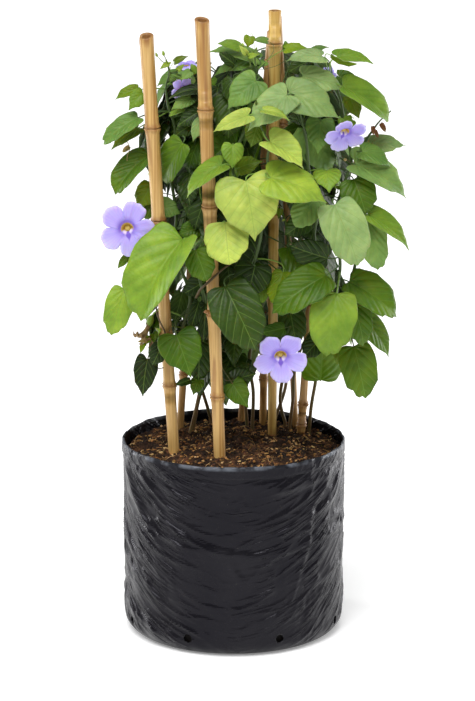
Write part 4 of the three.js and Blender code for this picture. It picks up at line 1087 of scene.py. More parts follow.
def crumbs(settings, random):
    """Loose grains, bark chips and coir fibres, strewn on the surface."""
    draw = random.random
    # Without a seed, noise_vector is another one in each run.
    noise.seed_set(11)
    whole = bmesh.new()
    grains = [linear(code) for code in ("21140A", "2E1D0E", "4A3018", "6B4A24", "94682F", "160D06")]
    chips = [linear(code) for code in ("7A4C22", "A8702F", "C98E48", "5A3A1E", "E0A962", "EBBE7C")]
    fibres = [linear(code) for code in ("8E6430", "B88646", "6A4A26", "DDB070")]

    def strewn(low, high):
        """A place on the surface, between two shares of its area from the middle."""
        angle = draw() * TURN
        radius = sqrt(low + (high - low) * draw()) * (BAG_RADIUS - 6)
        x, y = radius * cos(angle), radius * sin(angle)
        return Vector((x, y, crumbled(x, y)))

    def tumbled():
        """A turn about any axis."""
        axis = Vector((draw() - 0.5, draw() - 0.5, draw() - 0.5))
        return Quaternion(axis.normalized(), draw() * TURN).to_matrix().to_4x4()

    for _ in range(settings.grains):
        size = 0.7 + 2.0 * draw() ** 2.4
        part = bmesh.new()
        bmesh.ops.create_icosphere(part, subdivisions=1, radius=size)
        for vert in part.verts:
            vert.co *= 0.65 + 0.7 * draw()
        flat = Matrix.Diagonal((1.2, 0.9, 0.7, 1))
        place = Matrix.Translation(strewn(0, 1) + Vector((0, 0, 0.2 * size)))
        moved(part, place @ tumbled() @ flat)
        paint(part, random.choice(grains), 0.75)
        join(whole, part)
    for _ in range(settings.chips):
        part = bmesh.new()
        bmesh.ops.create_cube(part, size=1)
        bmesh.ops.subdivide_edges(part, edges=part.edges[:], cuts=1, use_grid_fill=True)
        size = Vector((2 + 5 * draw() ** 1.5, 1.2 + 2.2 * draw(), 0.7 + draw()))
        for vert in part.verts:
            vert.co += 0.12 * noise.noise_vector(vert.co * 2.3 + Vector((draw(), 0, 0)) * 9)
            vert.co = Vector((vert.co.x * size.x, vert.co.y * size.y, vert.co.z * size.z))
            vert.co.z -= 0.05 * vert.co.x**2
        spin = Matrix.Rotation(draw() * TURN, 4, "Z")
        lean = spin @ Matrix.Rotation(random.gauss(0, 0.5), 4, "X")
        place = Matrix.Translation(strewn(0.05, 1) + Vector((0, 0, 0.6)))
        moved(part, place @ lean)
        paint(part, random.choice(chips), 0.8)
        join(whole, part)
    for _ in range(settings.fibres):
        at = strewn(0, 1)
        heading = draw() * TURN
        length = 4 + 9 * draw()
        bend = random.gauss(0, 0.12)
        points = []
        for i in range(6):
            share = i / 5 - 0.5
            turn = heading + bend * share * 3
            step = Vector((cos(turn), sin(turn), 0)) * (length * share)
            rise = 0.5 + 2.2 * draw() * (0.5 - abs(share))
            x, y = at.x + step.x, at.y + step.y
            points.append(Vector((x, y, crumbled(x, y) + rise)))
        if max(hypot(p.x, p.y) for p in points) > BAG_RADIUS - 4:
            continue
        thick = 0.2 + 0.3 * draw()
        part = swept(points, [thick] * len(points), 3)
        paint(part, random.choice(fibres), 0.9)
        join(whole, part)
    return whole


# Canes


def cane_shape(spec, random):
    """One bamboo cane: a hollow cut top, ridged node rings and a slight waist between them."""
    way = [Vector(point) for point in spec["way"]]
    foot, top = way[0].z, way[-1].z
    low, high = spec["radii"]

    def radius_at(z):
        """The cane's radius at a height, without its rings."""
        return low + (high - low) * max(0, (z - foot) / (top - foot))

    profile = [(0, CANE_BOTTOM), (low - 0.4, CANE_BOTTOM), (low, CANE_BOTTOM + 0.5)]
    marks = [CANE_BOTTOM, *spec["rings"], top]
    for below, above in zip(marks, marks[1:]):
        steps = max(2, round((above - below) / 14))
        for i in range(1, steps):
            z = below + (above - below) * i / steps
            if z - below > 10 and above - z > 10:
                profile.append((radius_at(z) * (1 - 0.03 * sin(pi * i / steps)), z))
        if above < top:
            # The culm swells up to its ring, which is a ridge, a scar and a second ridge.
            radius = radius_at(above)
            for swell, rise in CANE_RING_PROFILE:
                profile.append((radius + swell, above + rise))
    bore = high * CANE_BORE
    profile += [(high, top - 0.5), (high - 0.4, top), (bore, top), (bore - 0.3, top - 1.5)]
    profile += [(bore, top - CANE_BORE_DEPTH), (0, top - CANE_BORE_DEPTH)]
    bm = turned(profile, 36 if high > 7 else 22)

    stain = bm.verts.layers.float.new("stain")
    stripe_azimuth, stripe_length = spec.get("stripe", (0, 0))
    seed = 10 * random.random()
    for vert in bm.verts:
        x, y, z = vert.co
        radius = hypot(x, y)
        azimuth = degrees(atan2(y, x)) + 90
        off = (azimuth - stripe_azimuth + 180) % 360 - 180
        if z > top - 2:
            vert.co.z += spec["cut"][0] * x + spec["cut"][1] * y
            off_left = (azimuth + 90 + 180) % 360 - 180
            vert.co.z -= spec.get("notch", 0) * max(0, 1 - abs(off_left) / 32)
        rings = sum(exp(-(((z - ring - 1) / 4.5) ** 2)) for ring in spec["rings"])
        patch = noise.noise(Vector((x / 9, y / 9, z / 70 + seed)))
        mark = 0.75 * rings + 0.55 * exp((z - top) / 9) + 0.7 * smoothstep(0.12, 0.5, patch)
        if stripe_length:
            long_enough = smoothstep(top - stripe_length, top - 0.6 * stripe_length, z)
            mark += 1.1 * long_enough * exp(-((off / 13) ** 2))
        # Painted shade: the inside of the bore is marked dark.
        if radius < bore + 0.5:
            mark += 0.8
        vert[stain] = min(1, mark)
        if z < top - 2 and radius > bore:
            # Culms are a little oval, and wander off the straight line between rings.
            scale = 1 + 0.02 * sin(2 * radians(azimuth) + seed)
            scale += 0.018 * noise.noise(Vector((x / 6, y / 6, z / 35 + seed)))
            vert.co.x *= scale
            vert.co.y *= scale
    for vert in bm.verts:
        span = 0
        while span < len(way) - 2 and vert.co.z > way[span + 1].z:
            span += 1
        start_point, end_point = way[span], way[span + 1]
        share = (vert.co.z - start_point.z) / (end_point.z - start_point.z)
        middle = start_point.lerp(end_point, share)
        vert.co.x += middle.x
        vert.co.y += middle.y
    return bm


def stub_shape(place, heading, radius, random):
    """The dry stub of a side shoot, on a cane's ring."""
    stub = bmesh.new()
    bmesh.ops.create_icosphere(stub, subdivisions=3, radius=radius)
    for vert in stub.verts:
        vert.co *= 1 + 0.3 * noise.noise(vert.co / (0.6 * radius) + Vector((9 * random.random(), 0, 0)))
        vert.co.z *= 1.5
    turn = Vector(heading).to_track_quat("Z", "Y").to_matrix().to_4x4()
    moved(stub, Matrix.Translation(place) @ turn)
    stain = stub.verts.layers.float.new("stain")
    for vert in stub.verts:
        vert[stain] = 0.9
    return stub


# Leaves


def curve_point(points, share):
    """A point of the smooth curve through the given ones, whose ends run straight on."""
    place = share * (len(points) - 1)
    span = min(int(place), len(points) - 2)
    w = place - span
    p1, p2 = points[span], points[span + 1]
    p0 = points[span - 1] if span > 0 else p1 * 2 - p2
    p3 = points[span + 2] if span + 2 < len(points) else p2 * 2 - p1
    t1, t2 = (p2 - p0) / 2, (p3 - p1) / 2
    bend = (p2 - p1) * 3 - t1 * 2 - t2
    return p1 + t1 * w + bend * w**2 + ((p1 - p2) * 2 + t1 + t2) * w**3


def even_points(points, count):
    """Points at even steps along the smooth curve."""
    fine = [curve_point(points, i / (12 * count)) for i in range(12 * count + 1)]
    run = [0]
    for a, b in zip(fine, fine[1:]):
        run.append(run[-1] + (b - a).length)
    even = []
    index = 0
    for i in range(count + 1):
        while index < len(run) - 2 and run[index + 1] < run[-1] * i / count:
            index += 1
        share = (run[-1] * i / count - run[index]) / (run[index + 1] - run[index])
        even.append(fine[index].lerp(fine[index + 1], share))
    return even


def facing(turn, lift):
    """The direction in which a leaf or a bloom looks."""
    t, up = radians(turn), radians(lift)
    return Vector((sin(t) * cos(up), -cos(t) * cos(up), sin(up)))


def leaf_frame(row, shift=0):
    """Where a leaf sits, how it lies and how large it is, moved away from the viewer by a shift."""
    bx, by, bz, tx, ty, tz, width, turn, lift, fold, form, tone = row
    base = Vector((bx, by + shift, bz))
    along = Vector((tx, ty + shift, tz)) - base
    length = along.length * BLADE_BEND / 2 / sin(BLADE_BEND / 2)
    along.normalize()
    out = facing(turn, lift)
    out = (out - along * out.dot(along)).normalized()
    leaf = {"base": base, "along": along, "out": out, "across": along.cross(out), "length": length}
    leaf |= {"width": width, "fold": radians(fold), "form": form, "tone": tone}
    return leaf


def blade_point(leaf, x, t, lifted):
    """A point of the arched blade: x across in widths, t along in lengths, lifted off its middle."""
    length = leaf["length"]
    angle = BLADE_BEND * (0.5 - t)
    run = length * (sin(BLADE_BEND / 2) - sin(angle)) / BLADE_BEND
    rise = length * (cos(angle) - cos(BLADE_BEND / 2)) / BLADE_BEND
    normal = leaf["out"] * cos(angle) - leaf["along"] * sin(angle)
    side = x * leaf["width"] * length
    raised = abs(side) * sin(leaf["fold"]) - side * side * 0.35 / length
    middle = leaf["base"] + leaf["along"] * run + leaf["out"] * rise
    return middle + leaf["across"] * (side * cos(leaf["fold"])) + normal * (raised + lifted)


def blade_start(leaf):
    """The direction in which the blade sets out from its stalk."""
    return leaf["along"] * cos(BLADE_BEND / 2) + leaf["out"] * sin(BLADE_BEND / 2)


def tone_of(letter, random):
    """A leaf's own colour, between the two of its tone."""
    first, second = (linear(code) for code in TONES[letter][:2])
    share, bright = random.random(), 0.9 + 0.2 * random.random()
    return [bright * (a + share * (b - a)) for a, b in zip(first[:3], second)]


def vein_count(leaf, x, t):
    """Counts the side veins up the blade: 0 on the pair that arches from the stalk, less in the lobes."""
    aside = abs(x) * 2
    start = t - 0.4 * aside - 0.1 * aside * aside
    if start > 0:
        return start / VEIN_SPACE
    first = atan2(aside * leaf["width"] / 2, 0.4 * aside + 0.1 * aside * aside)
    return (first - atan2(aside * leaf["width"] / 2, t)) / 0.6


def blade_shape(leaf, columns, rows, settings, random):
    """One blade: veins arch from its midrib, the skin between them bulges and the toothed edge waves."""
    colour = tone_of(leaf["tone"], random)
    seed, sway = 20 * random.random(), 0.07 * (random.random() - 0.5)
    droop = 0.02 + 0.05 * random.random()
    size = leaf["length"] / 80
    bm = bmesh.new()
    blade = bm.loops.layers.uv.new("blade")
    bmesh.ops.create_grid(bm, x_segments=2 * columns, y_segments=rows, size=1)
    spots = {}
    for vert in bm.verts:
        turn, reach = vert.co.x, max(0.02, vert.co.y / 2 + 0.5)
        share = (1 - abs(turn)) ** (1 + 0.45 * (1 - reach))
        # Four blunt teeth on each half, weaker at the tip
        tooth = abs((8 * turn + 1) % 2 - 1) * (1 - smoothstep(0.8, 0.95, share)) * (0.7, 1)[leaf["form"]]
        ragged = noise.noise(Vector((turn * 9, seed, leaf["form"])))
        out = reach * (1 + reach**3 * (settings.teeth * tooth + 0.05 * ragged))
        place = outline_at(leaf["form"], share) * out
        spots[vert] = (vein_count(leaf, place.x, place.y), place.x * leaf["width"] * leaf["length"] / 10)
        if vert.co.y < -0.99:
            place = Vector((0, 0))
        x = copysign(place.x, turn) + sway * place.y**2
        count, quilt = spots[vert][0], settings.quilt / MM * sin(pi * reach**0.8)
        quilt *= abs(sin(pi * count)) * min(1, abs(x) * 6)
        edge = noise.noise(Vector((turn * 2.6, seed + 3, 0)))
        edge += 0.5 * noise.noise(Vector((turn * 7, seed, 4)))
        lift = size * (quilt + settings.wave / MM * edge * reach**3)
        lift -= leaf["length"] * droop * max(0, place.y - 0.6) ** 2 * 4
        vert.co = blade_point(leaf, x, place.y, lift + settings.leaf_thickness / MM / 2)
    for face in bm.faces:
        for loop in face.loops:
            loop[blade].uv = spots[loop.vert]
    bmesh.ops.remove_doubles(bm, verts=bm.verts, dist=0.02)
    face_side = set(bm.faces)
    bmesh.ops.solidify(bm, geom=bm.faces[:], thickness=settings.leaf_thickness / MM)
    for face in bm.faces:
        face.material_index = 1 if face in face_side else 2
    paint(bm, colour)
    return bm


def outline_at(form, share):
    """A point of the outline, from the lobe beside the stalk at 0 to the tip at 1."""
    table = outline_tables[form]
    place = share * (len(table) - 1)
    index = min(int(place), len(table) - 2)
    return table[index].lerp(table[index + 1], place - index)


outline_tables = [even_points([Vector(point) for point in outline], 64) for outline in OUTLINES]

stem_ways = []
for stem_way in VINES:
    x0, y0, z0 = stem_way[0]
    buried = [(x0, y0, z0 - ROOT_DEPTH), (x0, y0, z0 - 5)]
    stem_ways.append([Vector(point) for point in [*buried, *stem_way]])
stem_samples = [
    (curve_point(way, (i + 7) / 60), vine) for vine, way in enumerate(stem_ways) for i in range(52)
]


def stalk_roots(place):
    """The nearest places on the stems that a stalk can spring from, none of them neighbours."""
    near = [((point - place).length, index) for index, (point, _) in enumerate(stem_samples)]
    near = sorted(pair for pair in near if STALK_REACH[0] < pair[0] < STALK_REACH[1])
    kept = []
    for _, index in near:
        if all(abs(index - other) > 2 for other in kept):
            kept.append(index)
        if len(kept) == STALK_TRIES:
            break
    return [stem_samples[index] for index in kept]


def stalk_shape(seat, bend, root, radii, sides, colour):
    """A stalk from its seat at a leaf or bloom down to its stem."""
    steps = max(5, round((root - seat).length / 7))
    points = bowed(seat, bend, root, steps)
    radii = [radii[0] + (radii[1] - radii[0]) * i / steps for i in range(steps + 1)]
    stalk = swept(points, radii, sides)
    paint(stalk, colour)
    return stalk


def leaf_with_stalk(whole, leaf, root, fineness, settings, random):
    """Adds a leaf to a piece, with its stalk where it has a root."""
    join(whole, blade_shape(leaf, *fineness, settings, random))
    if root:
        bend = leaf["base"] - blade_start(leaf) * STALK_BOW * (root - leaf["base"]).length
        green = linear("779A3C") if leaf["tone"] in "LYB" else linear("46602A")
        thin = min(1, leaf["length"] / 50)
        radii = (0.8 * STALK_RADIUS * thin, STALK_RADIUS * thin)
        sides = 3 if fineness == SHADED_GRID else 6
        join(whole, stalk_shape(leaf["base"], bend, root, radii, sides, green))


# Finding where the solids put each leaf


class SolidCorners:
    """The corners of the vines' solids, to see which of a leaf's possible places the solids took."""

    def __init__(self):
        corners = []
        for vine in range(len(VINES)):
            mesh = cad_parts[f"vine_{vine + 1}"].data
            corners += [(vert.co / MM, vine) for vert in mesh.vertices]
        self.tree = KDTree(len(corners))
        for index, (place, _) in enumerate(corners):
            self.tree.insert(place, index)
        self.tree.balance()
        self.vines = [vine for _, vine in corners]

    def off(self, place):
        """How far the nearest corner lies from a place."""
        return self.tree.find(place)[2]

    def leaf(self, row):
        """The leaf where the solids hold it, its vine and the root of its stalk, or None."""
        for shift in DEPTH_TRIES:
            leaf = leaf_frame(row, shift)
            tip = blade_point(leaf, 0, 1, BLADE / 2)
            if self.off(tip) < 0.05 and self.off(blade_point(leaf, 0, MIDRIB, BLADE / 2)) < 0.05:
                vine = self.vines[self.tree.find(tip)[1]]
                return leaf, vine, self.root(leaf["base"], blade_start(leaf), vine, STALK_RADIUS)
        return None

    def root(self, seat, arrival, vine, radius):
        """The root whose stalk has the solids' corners round its middle."""
        best = []
        for index, (root, owner) in enumerate(stalk_roots(seat)):
            if owner == vine:
                bend = seat - arrival * STALK_BOW * (root - seat).length
                point = bowed(seat, bend, root, 20)[9]
                best.append((abs(self.off(point) - radius), index, root))
        return min(best)[2]


def fill_row(index, state):
    """The same leaf that the solids' rule hangs round the sides and back; state holds the rule's number."""

    def draw():
        """The next number of the rule, between 0 and 1."""
        state[0] = (state[0] * 1664525 + 1013904223) % 4294967296
        return state[0] / 4294967296

    azimuth = pi + FILL_SWEEP * ((index * 0.381966) % 1 - 0.5)
    share = (index * 0.618034 + 0.5 * draw()) % 1
    height = CANOPY["low"] + share * (CANOPY["high"] - CANOPY["low"])
    reach = (0.55 + 0.45 * (0.5 - 0.5 * cos(azimuth))) * (0.78 + 0.22 * draw())
    dx, dy = sin(azimuth), -cos(azimuth)
    bx = CANOPY["x"] + dx * reach * CANOPY["width"]
    by = CANOPY["y"] + dy * reach * CANOPY["depth"]
    length = 55 + 34 * draw()
    outward = length * (0.25 + 0.25 * draw())
    drop = sqrt(length * length - outward * outward)
    sway = 16 * (draw() - 0.5)
    tip = (bx + dx * outward - dy * sway, by + dy * outward + dx * sway, height - drop)
    turn = degrees(azimuth) + 40 * (draw() - 0.5)
    width = 0.7 + 0.25 * draw()
    form = 1 if index % 3 == 0 else 0
    tone = "MGDMBDM"[index % 7]
    return (bx, by, height, *tip, width, turn, 10 + 30 * draw(), 9, form, tone)


# Blooms


def bloom_place(bloom):
    """The matrix that puts a bloom, modelled round the Z axis, at its throat."""
    turn = radians(bloom["turn"])
    out = facing(bloom["turn"], bloom["lift"])
    right = Vector((cos(turn), sin(turn), 0))
    basis = Matrix((right, out.cross(right), out)).transposed().to_4x4()
    spin = Matrix.Rotation(radians(bloom["spin"]), 4, "Z")
    return Matrix.Translation(bloom["centre"]) @ basis @ spin @ Matrix.Scale(bloom["size"], 4)


def bloom_shape(bloom, spread, settings, random):
    """A trumpet that opens into five broad lobes; its map runs round from the lowest one, and outwards."""
    edge = BLOOM_RADIUS * spread
    profile = [
        Vector((0.05, -TUBE_LENGTH + 0.4)),
        Vector((2.6, -TUBE_LENGTH + 0.6)),
        Vector((3.0, -16)),
        Vector((4.2, -10)),
        Vector((6.6, -5.6)),
        Vector((9.4, -2.6)),
        Vector((13.2, -0.6)),
        Vector((THROAT_RADIUS + (edge - THROAT_RADIUS) * 0.35, 0.7)),
        Vector((THROAT_RADIUS + (edge - THROAT_RADIUS) * 0.7, -0.2)),
        Vector((edge, -2.5)),
    ]
    seed = 20 * random.random()
    crumple = 1 if spread == 1 else 3.5
    bm = bmesh.new()
    petal = bm.loops.layers.uv.new("petal")
    bmesh.ops.create_grid(bm, x_segments=120, y_segments=26, size=1)
    for face in bm.faces:
        for loop in face.loops:
            loop[petal].uv = (loop.vert.co.x / 2, loop.vert.co.y / 2 + 0.5)
    for vert in bm.verts:
        angle, reach = pi * vert.co.x, vert.co.y / 2 + 0.5
        radius, z = curve_point(profile, reach)
        lobe = abs(cos(2.5 * angle)) ** 0.46
        centre = max(0, cos(5 * angle))
        rim = THROAT_RADIUS - 3
        if radius > rim:
            radius = rim + (radius - rim) * (0.36 + 0.66 * lobe - 0.045 * centre**6)
            radius *= 1 + 0.07 * smoothstep(0.75, 1, reach) * noise.noise(Vector((angle * 5, seed, 0)))
        z -= bloom.get("reflex", 0) * smoothstep(0.66, 1, reach) ** 1.5
        open_share = smoothstep(0.5, 1, reach)
        beside = sin(2.5 * angle) * copysign(1, cos(2.5 * angle))
        ruffle = noise.noise(Vector((sin(angle) * 3.5, cos(angle) * 3.5, seed)))
        ruffle += 0.5 * noise.noise(Vector((sin(angle) * 9, cos(angle) * 9, seed + reach * 2)))
        z += open_share * (1.0 * beside + crumple * settings.ruffle / MM * ruffle)
        z += 1.2 * open_share * (1 - lobe)
        if radius < THROAT_RADIUS:
            # The lower lip closes the lower half of the throat.
            lip = (1 - smoothstep(0.8, 1.5, abs(angle))) * smoothstep(2, 5, radius)
            z += lip * (0.16 * radius - 3.4 - z)
        vert.co = (radius * sin(angle), -radius * cos(angle), z)
    bmesh.ops.remove_doubles(bm, verts=bm.verts, dist=0.08)
    bmesh.ops.solidify(bm, geom=bm.faces[:], thickness=settings.petal_thickness / MM)
    moved(bm, bloom_place(bloom))
    for face in bm.faces:
        face.smooth = True
    return bm


def anthers_shape(bloom):
    """Four pale anthers, pressed together to a knob that closes the yellow throat."""
    profile = [(0, -17), (2.6, -15), (4.4, -10.4), (4.2, -8.8), (3, -7.2), (1.5, -6.2), (0, -6)]
    whole = turned(profile, 28)
    for vert in whole.verts:
        angle = atan2(vert.co.y, vert.co.x)
        vert.co.xy *= 1 + 0.12 * abs(sin(2 * angle))
        vert.co.y -= 0.3
    moved(whole, bloom_place(bloom))
    return whole


def calyx_shape(bloom, random):
    """The pair of bracts that holds the foot of the tube."""
    back = -TUBE_LENGTH
    profile = [(0, back - 8), (1.6, back - 7.6), (3.4, back - 5.4), (5, back - 1.5), (5.1, back + 2)]
    profile += [(4.7, back + 5), (4.3, back + 5), (4.2, back + 1), (3.6, back - 0.5), (0, back - 0.5)]
    bm = turned(profile, 20)
    for vert in bm.verts:
        angle = atan2(vert.co.y, vert.co.x)
        if vert.co.z > back:
            # Each bract is drawn out to a point, and they meet low at the sides.
            vert.co.z += 3.4 * abs(cos(angle)) * smoothstep(back, back + 5, vert.co.z) - 1
            vert.co.xy *= 1 - 0.06 * abs(sin(angle))
    paint(bm, tone_of("B", random))
    moved(bm, bloom_place(bloom))
    return bm


# Shoots, tendrils and buds


def bud_shape(place, heading, length, radius, colour):
    """A pointed bud on its short stalk."""
    shares = ((0, 0), (0.35, 0.02), (0.85, 0.18), (1, 0.38), (0.8, 0.62), (0.4, 0.85), (0, 1))
    bm = turned([(radius * across, length * along) for across, along in shares], 9)
    turn = Vector(heading).to_track_quat("Z", "Y").to_matrix().to_4x4()
    moved(bm, Matrix.Translation(place) @ turn)
    paint(bm, colour)
    return bm


def shoot_shape(way, radii, colour):
    """A thin shoot or tendril along a smooth curve."""
    points = [Vector(point) for point in way]
    run = sum((b - a).length for a, b in zip(points, points[1:]))
    steps = max(8, round(run / 2.2))
    points = even_points(points, steps)
    radii = [radii[0] + (radii[1] - radii[0]) * i / steps for i in range(steps + 1)]
    bm = swept(points, radii, 6)
    paint(bm, colour)
    return bm


# Stems, and leaves that find room between the solids


def stem_radius(share):
    """A main stem tapers a little all the way, and faster towards its tip."""
    return STEM_RADIUS * (1.08 - 0.2 * share - 0.5 * smoothstep(0.85, 1, share))


def solid_tree(node):
    """The surface of one of the solids in millimetres, to test what is near it."""
    bm = bmesh.new()
    bm.from_mesh(node.data)
    bmesh.ops.scale(bm, vec=(1 / MM, 1 / MM, 1 / MM), verts=bm.verts)
    tree = BVHTree.FromBMesh(bm)
    bm.free()
    return tree


def clear_leaf(row, solids, settings):
    """The leaf in its place, or a little nearer or farther if something stands there."""
    for shift in DEPTH_TRIES:
        leaf = leaf_frame(row, shift)
        blade = blade_shape(leaf, *SHADED_GRID, settings, Random(1))
        tree = BVHTree.FromBMesh(blade)
        blade.free()
        if not any(tree.overlap(solid) for solid in solids):
            return leaf
    return leaf_frame(row)


def sight_lines():
    """Thin fans from the camera to canes that show through the leaves, and cones to the blooms' edges."""
    corners, faces = [Vector(CAMERA_PLACE)], []
    for name, low, high in CLEAR_VIEWS:
        way = [Vector(point) for point in CANES[name]["way"]]
        foot, top = way[0], way[-1]
        ends = [foot.lerp(top, (z - foot.z) / (top.z - foot.z)) for z in (low, high)]
        for aside in (-7, 0, 7):
            faces.append((0, len(corners), len(corners) + 1))
            corners += [end + Vector((aside, 0, 0)) for end in ends]
    for name in ("bloom_1", "bloom_2", "bloom_3"):
        place = bloom_place(BLOOMS[name])
        for i in range(12):
            faces.append((0, len(corners), len(corners) + 1))
            for turn in (TURN * i / 12, TURN * (i + 1) / 12):
                edge = Vector((cos(turn), sin(turn), 0)) * BLOOM_RADIUS
                corners.append(place @ edge)
    return BVHTree.FromPolygons(corners, faces)


def shaded_row(random):
    """A place for one of the shaded leaves inside the canopy; most look outwards and hang."""
    draw = random.random
    azimuth = TURN * draw()
    radius = sqrt(draw())
    height = SHADED_LOW + SHADED_RISE * draw()
    narrow = 1 - 0.25 * smoothstep(680, 770, height) - 0.3 * (1 - smoothstep(330, 430, height))
    dx, dy = sin(azimuth), -cos(azimuth)
    bx = CANOPY["x"] - 9 + dx * radius * 112 * narrow
    by = CANOPY["y"] + 12 + dy * radius * 76 * narrow
    # The canopy's top slopes down to the left.
    height = min(height, 735 + 0.45 * bx)
    length = 38 + 32 * draw()
    outward = length * (0.15 + 0.4 * draw())
    drop = sqrt(length * length - outward * outward)
    sway = 34 * (draw() - 0.5)
    tip = (bx + dx * outward - dy * sway, by + dy * outward + dx * sway, height - drop)
    turn = degrees(azimuth) + 70 * (draw() - 0.5)
    width = 0.72 + 0.3 * draw()
    form = 1 if draw() < 0.4 else 0
    # Most take the dark tone, which is partly painted shade.
    tone = random.choice("DDDDDDMG")
    return (bx, by, height, *tip, width, turn, 5 + 40 * draw(), 9, form, tone)


# Settings


def measure(name, description, default, low, high):
    """A length in metres, for a group of settings."""
    return FloatProperty(
        name=name, description=description, unit="LENGTH", default=default, min=low, max=high
    )


def count(name, description, default, high):
    """A whole number from 0 up, for a group of settings."""
    return IntProperty(name=name, description=description, default=default, min=0, max=high)


def colour(name, description, code):
    """A colour, for a group of settings; its default is given as hex."""
    return FloatVectorProperty(
        name=name, description=description, subtype="COLOR", size=4, min=0, max=1, default=linear(code)
    )


class FilmBagSettings(bpy.types.PropertyGroup):
    film: colour("Film colour", "Colour of the black film where no dust dulls it", "09080D")
    film_thickness: measure(
        "Film thickness",
        "Thickness of the wall, thicker than real film so that it stays a sound solid",
        0.0012,
        0.0006,
        0.0025,
    )
    crinkle: measure("Crinkle height", "How far the small crinkles stand out of the wall", 0.0013, 0, 0.003)


class CompostSettings(bpy.types.PropertyGroup):
    soil: colour("Compost colour", "Colour of the damp peat between the fibres", "2E1C0F")
    bark: colour("Bark colour", "Colour of the palest grains in the compost", "6B4526")
    grains: count("Loose grains", "Number of loose grains", 2000, 4000)
    chips: count("Bark chips", "Number of pale bark chips", 560, 600)
    fibres: count("Coir fibres", "Number of curled coir fibres", 650, 900)


class CaneSettings(bpy.types.PropertyGroup):
    pale: colour("Bamboo colour", "Colour of the palest fibres", "D2AC6A")
    deep: colour("Bamboo grain colour", "Colour of the darker fibres", "A87A3A")
    stain: colour("Stain colour", "Colour of the stains at the rings and the cut", "8A5A2C")


class VineSettings(bpy.types.PropertyGroup):
    leaf_thickness: measure("Leaf thickness", "Thickness of a blade", 0.0005, 0.0003, 0.001)
    quilt: measure(
        "Quilting", "How far the skin of an 80 mm leaf bulges between its veins", 0.0006, 0, 0.003
    )
    wave: measure("Edge wave", "How far the edge of an 80 mm leaf waves out of its plane", 0.0032, 0, 0.008)
    teeth: FloatProperty(
        name="Edge teeth",
        description="Height of the blunt teeth where veins end, as a share of the blade",
        subtype="FACTOR",
        default=0.06,
        min=0,
        max=0.1,
    )
    vein: colour("Vein colour", "Colour of the veins, between a young leaf's and an old one's", "6E8C3A")
    cork: colour("Old stem colour", "Colour of the corky foot of each stem", "6E5636")
    shaded: count(
        "Shaded leaves", "Number of places tried for the small shaded leaves inside the canopy", 1100, 2000
    )


class BloomSettings(bpy.types.PropertyGroup):
    petal: colour("Petal colour", "Lavender of the lobes", "AFA1EA")
    petal_edge: colour("Petal edge colour", "Paler lavender at the edge", "CDC6F4")
    violet: colour("Violet", "Violet of the veins and of the ring round the throat", "8670D2")
    streak: colour("Lip colour", "Deep violet of the streak on the lowest lobe", "6A4BC4")
    throat: colour("Throat colour", "Ochre of the throat", "B08E1E")
    ruffle: measure("Ruffle", "How far the lobes' edges wave", 0.0016, 0, 0.004)
    petal_thickness: measure("Petal thickness", "Thickness of a petal", 0.0005, 0.0003, 0.001)


class StageSettings(bpy.types.PropertyGroup):
    floor: colour("Floor colour", "Colour of the plain floor", "F7F7F7")
    glow: FloatProperty(
        name="Floor glow", description="Strength of the light through the floor", default=0.24, min=0
    )
    sky: FloatProperty(
        name="Room light", description="Strength of the even white light", default=0.4, min=0, max=3
    )
    key: FloatProperty(
        name="Key light", description="Strength of the soft light from above", default=2.8, min=0
    )
    sides: FloatProperty(
        name="Side lights", description="Power of each lamp at the sides", unit="POWER", default=22, min=0
    )


# Operators


def vine_materials(context):
    """The stem, the leaf's face and the leaf's back, made once for all pieces that carry them."""
    names = ("climbing_stem", "waxed_leaf_face", "downy_leaf_back")
    if names[0] not in bpy.data.materials:
        settings = context.scene.vine_settings
        stem_material(settings)
        leaf_material(names[1], settings, False)
        leaf_material(names[2], settings, True)
    return [bpy.data.materials[name] for name in names]


class TRUMPETVINE_OT_grow_bag(bpy.types.Operator):
    """Makes the creased film bag with its folded hem and drain holes"""

    bl_idname = "trumpet_vine.make_grow_bag"
    bl_label = "Make grow bag"

    def execute(self, context):
        settings = context.scene.film_bag_settings
        bag = finish_piece(
            grow_bag_shape(settings), "film_bag", [film_material(settings)], "film", "grow_bag"
        )
        plugs = drain_cutter()
        punch = bag.modifiers.new("drain_holes", "BOOLEAN")
        punch.object = plugs
        punch.solver = "EXACT"
        apply_modifiers(bag)
        bpy.data.objects.remove(plugs)
        if len(bag.data.polygons) < 1000:
            raise RuntimeError("the drain holes took the bag away")
        return {"FINISHED"}


class TRUMPETVINE_OT_compost(bpy.types.Operator):
    """Makes the crumbled compost and the grains, chips and fibres that lie on it"""

    bl_idname = "trumpet_vine.make_compost"
    bl_label = "Make compost"

    def execute(self, context):
        settings = context.scene.compost_settings
        damp = compost_material(settings)
        finish_piece(compost_shape(), "compost", [damp], "soil", "soil")
        finish_piece(crumbs(settings, Random(11)), "compost_crumbs", [damp], "soil")
        return {"FINISHED"}


class TRUMPETVINE_OT_canes(bpy.types.Operator):
    """Makes the eight bamboo canes"""

    bl_idname = "trumpet_vine.make_canes"
    bl_label = "Make canes"

    def execute(self, context):
        settings = context.scene.cane_settings
        tan = bamboo_material("dried_bamboo", settings.pale, settings.deep, settings)
        # Painted shade: the thinner canes at the back take a darker copy of the bamboo, as they stand in the
        # canopy's shade.
        brown = bamboo_material("weathered_bamboo", linear("C69C62"), linear("A0763C"), settings)
        yellow = bamboo_material("dried_yellow_bamboo", linear("E2C070"), linear("B98A34"), settings)
        for index, (name, spec) in enumerate(CANES.items()):
            random = Random(index)
            bm = cane_shape(spec, random)
            for place, heading, radius in STUBS.get(name, ()):
                join(bm, stub_shape(place, heading, radius, random))
            finish = yellow if name == YELLOW_CANE else tan if spec["radii"][1] > 8.5 else brown
            slot = "yellow_bamboo" if name == YELLOW_CANE else "bamboo"
            for face in bm.faces:
                face.smooth = True
            finish_piece(bm, f"bamboo_{name}", [finish], slot, name)
        return {"FINISHED"}


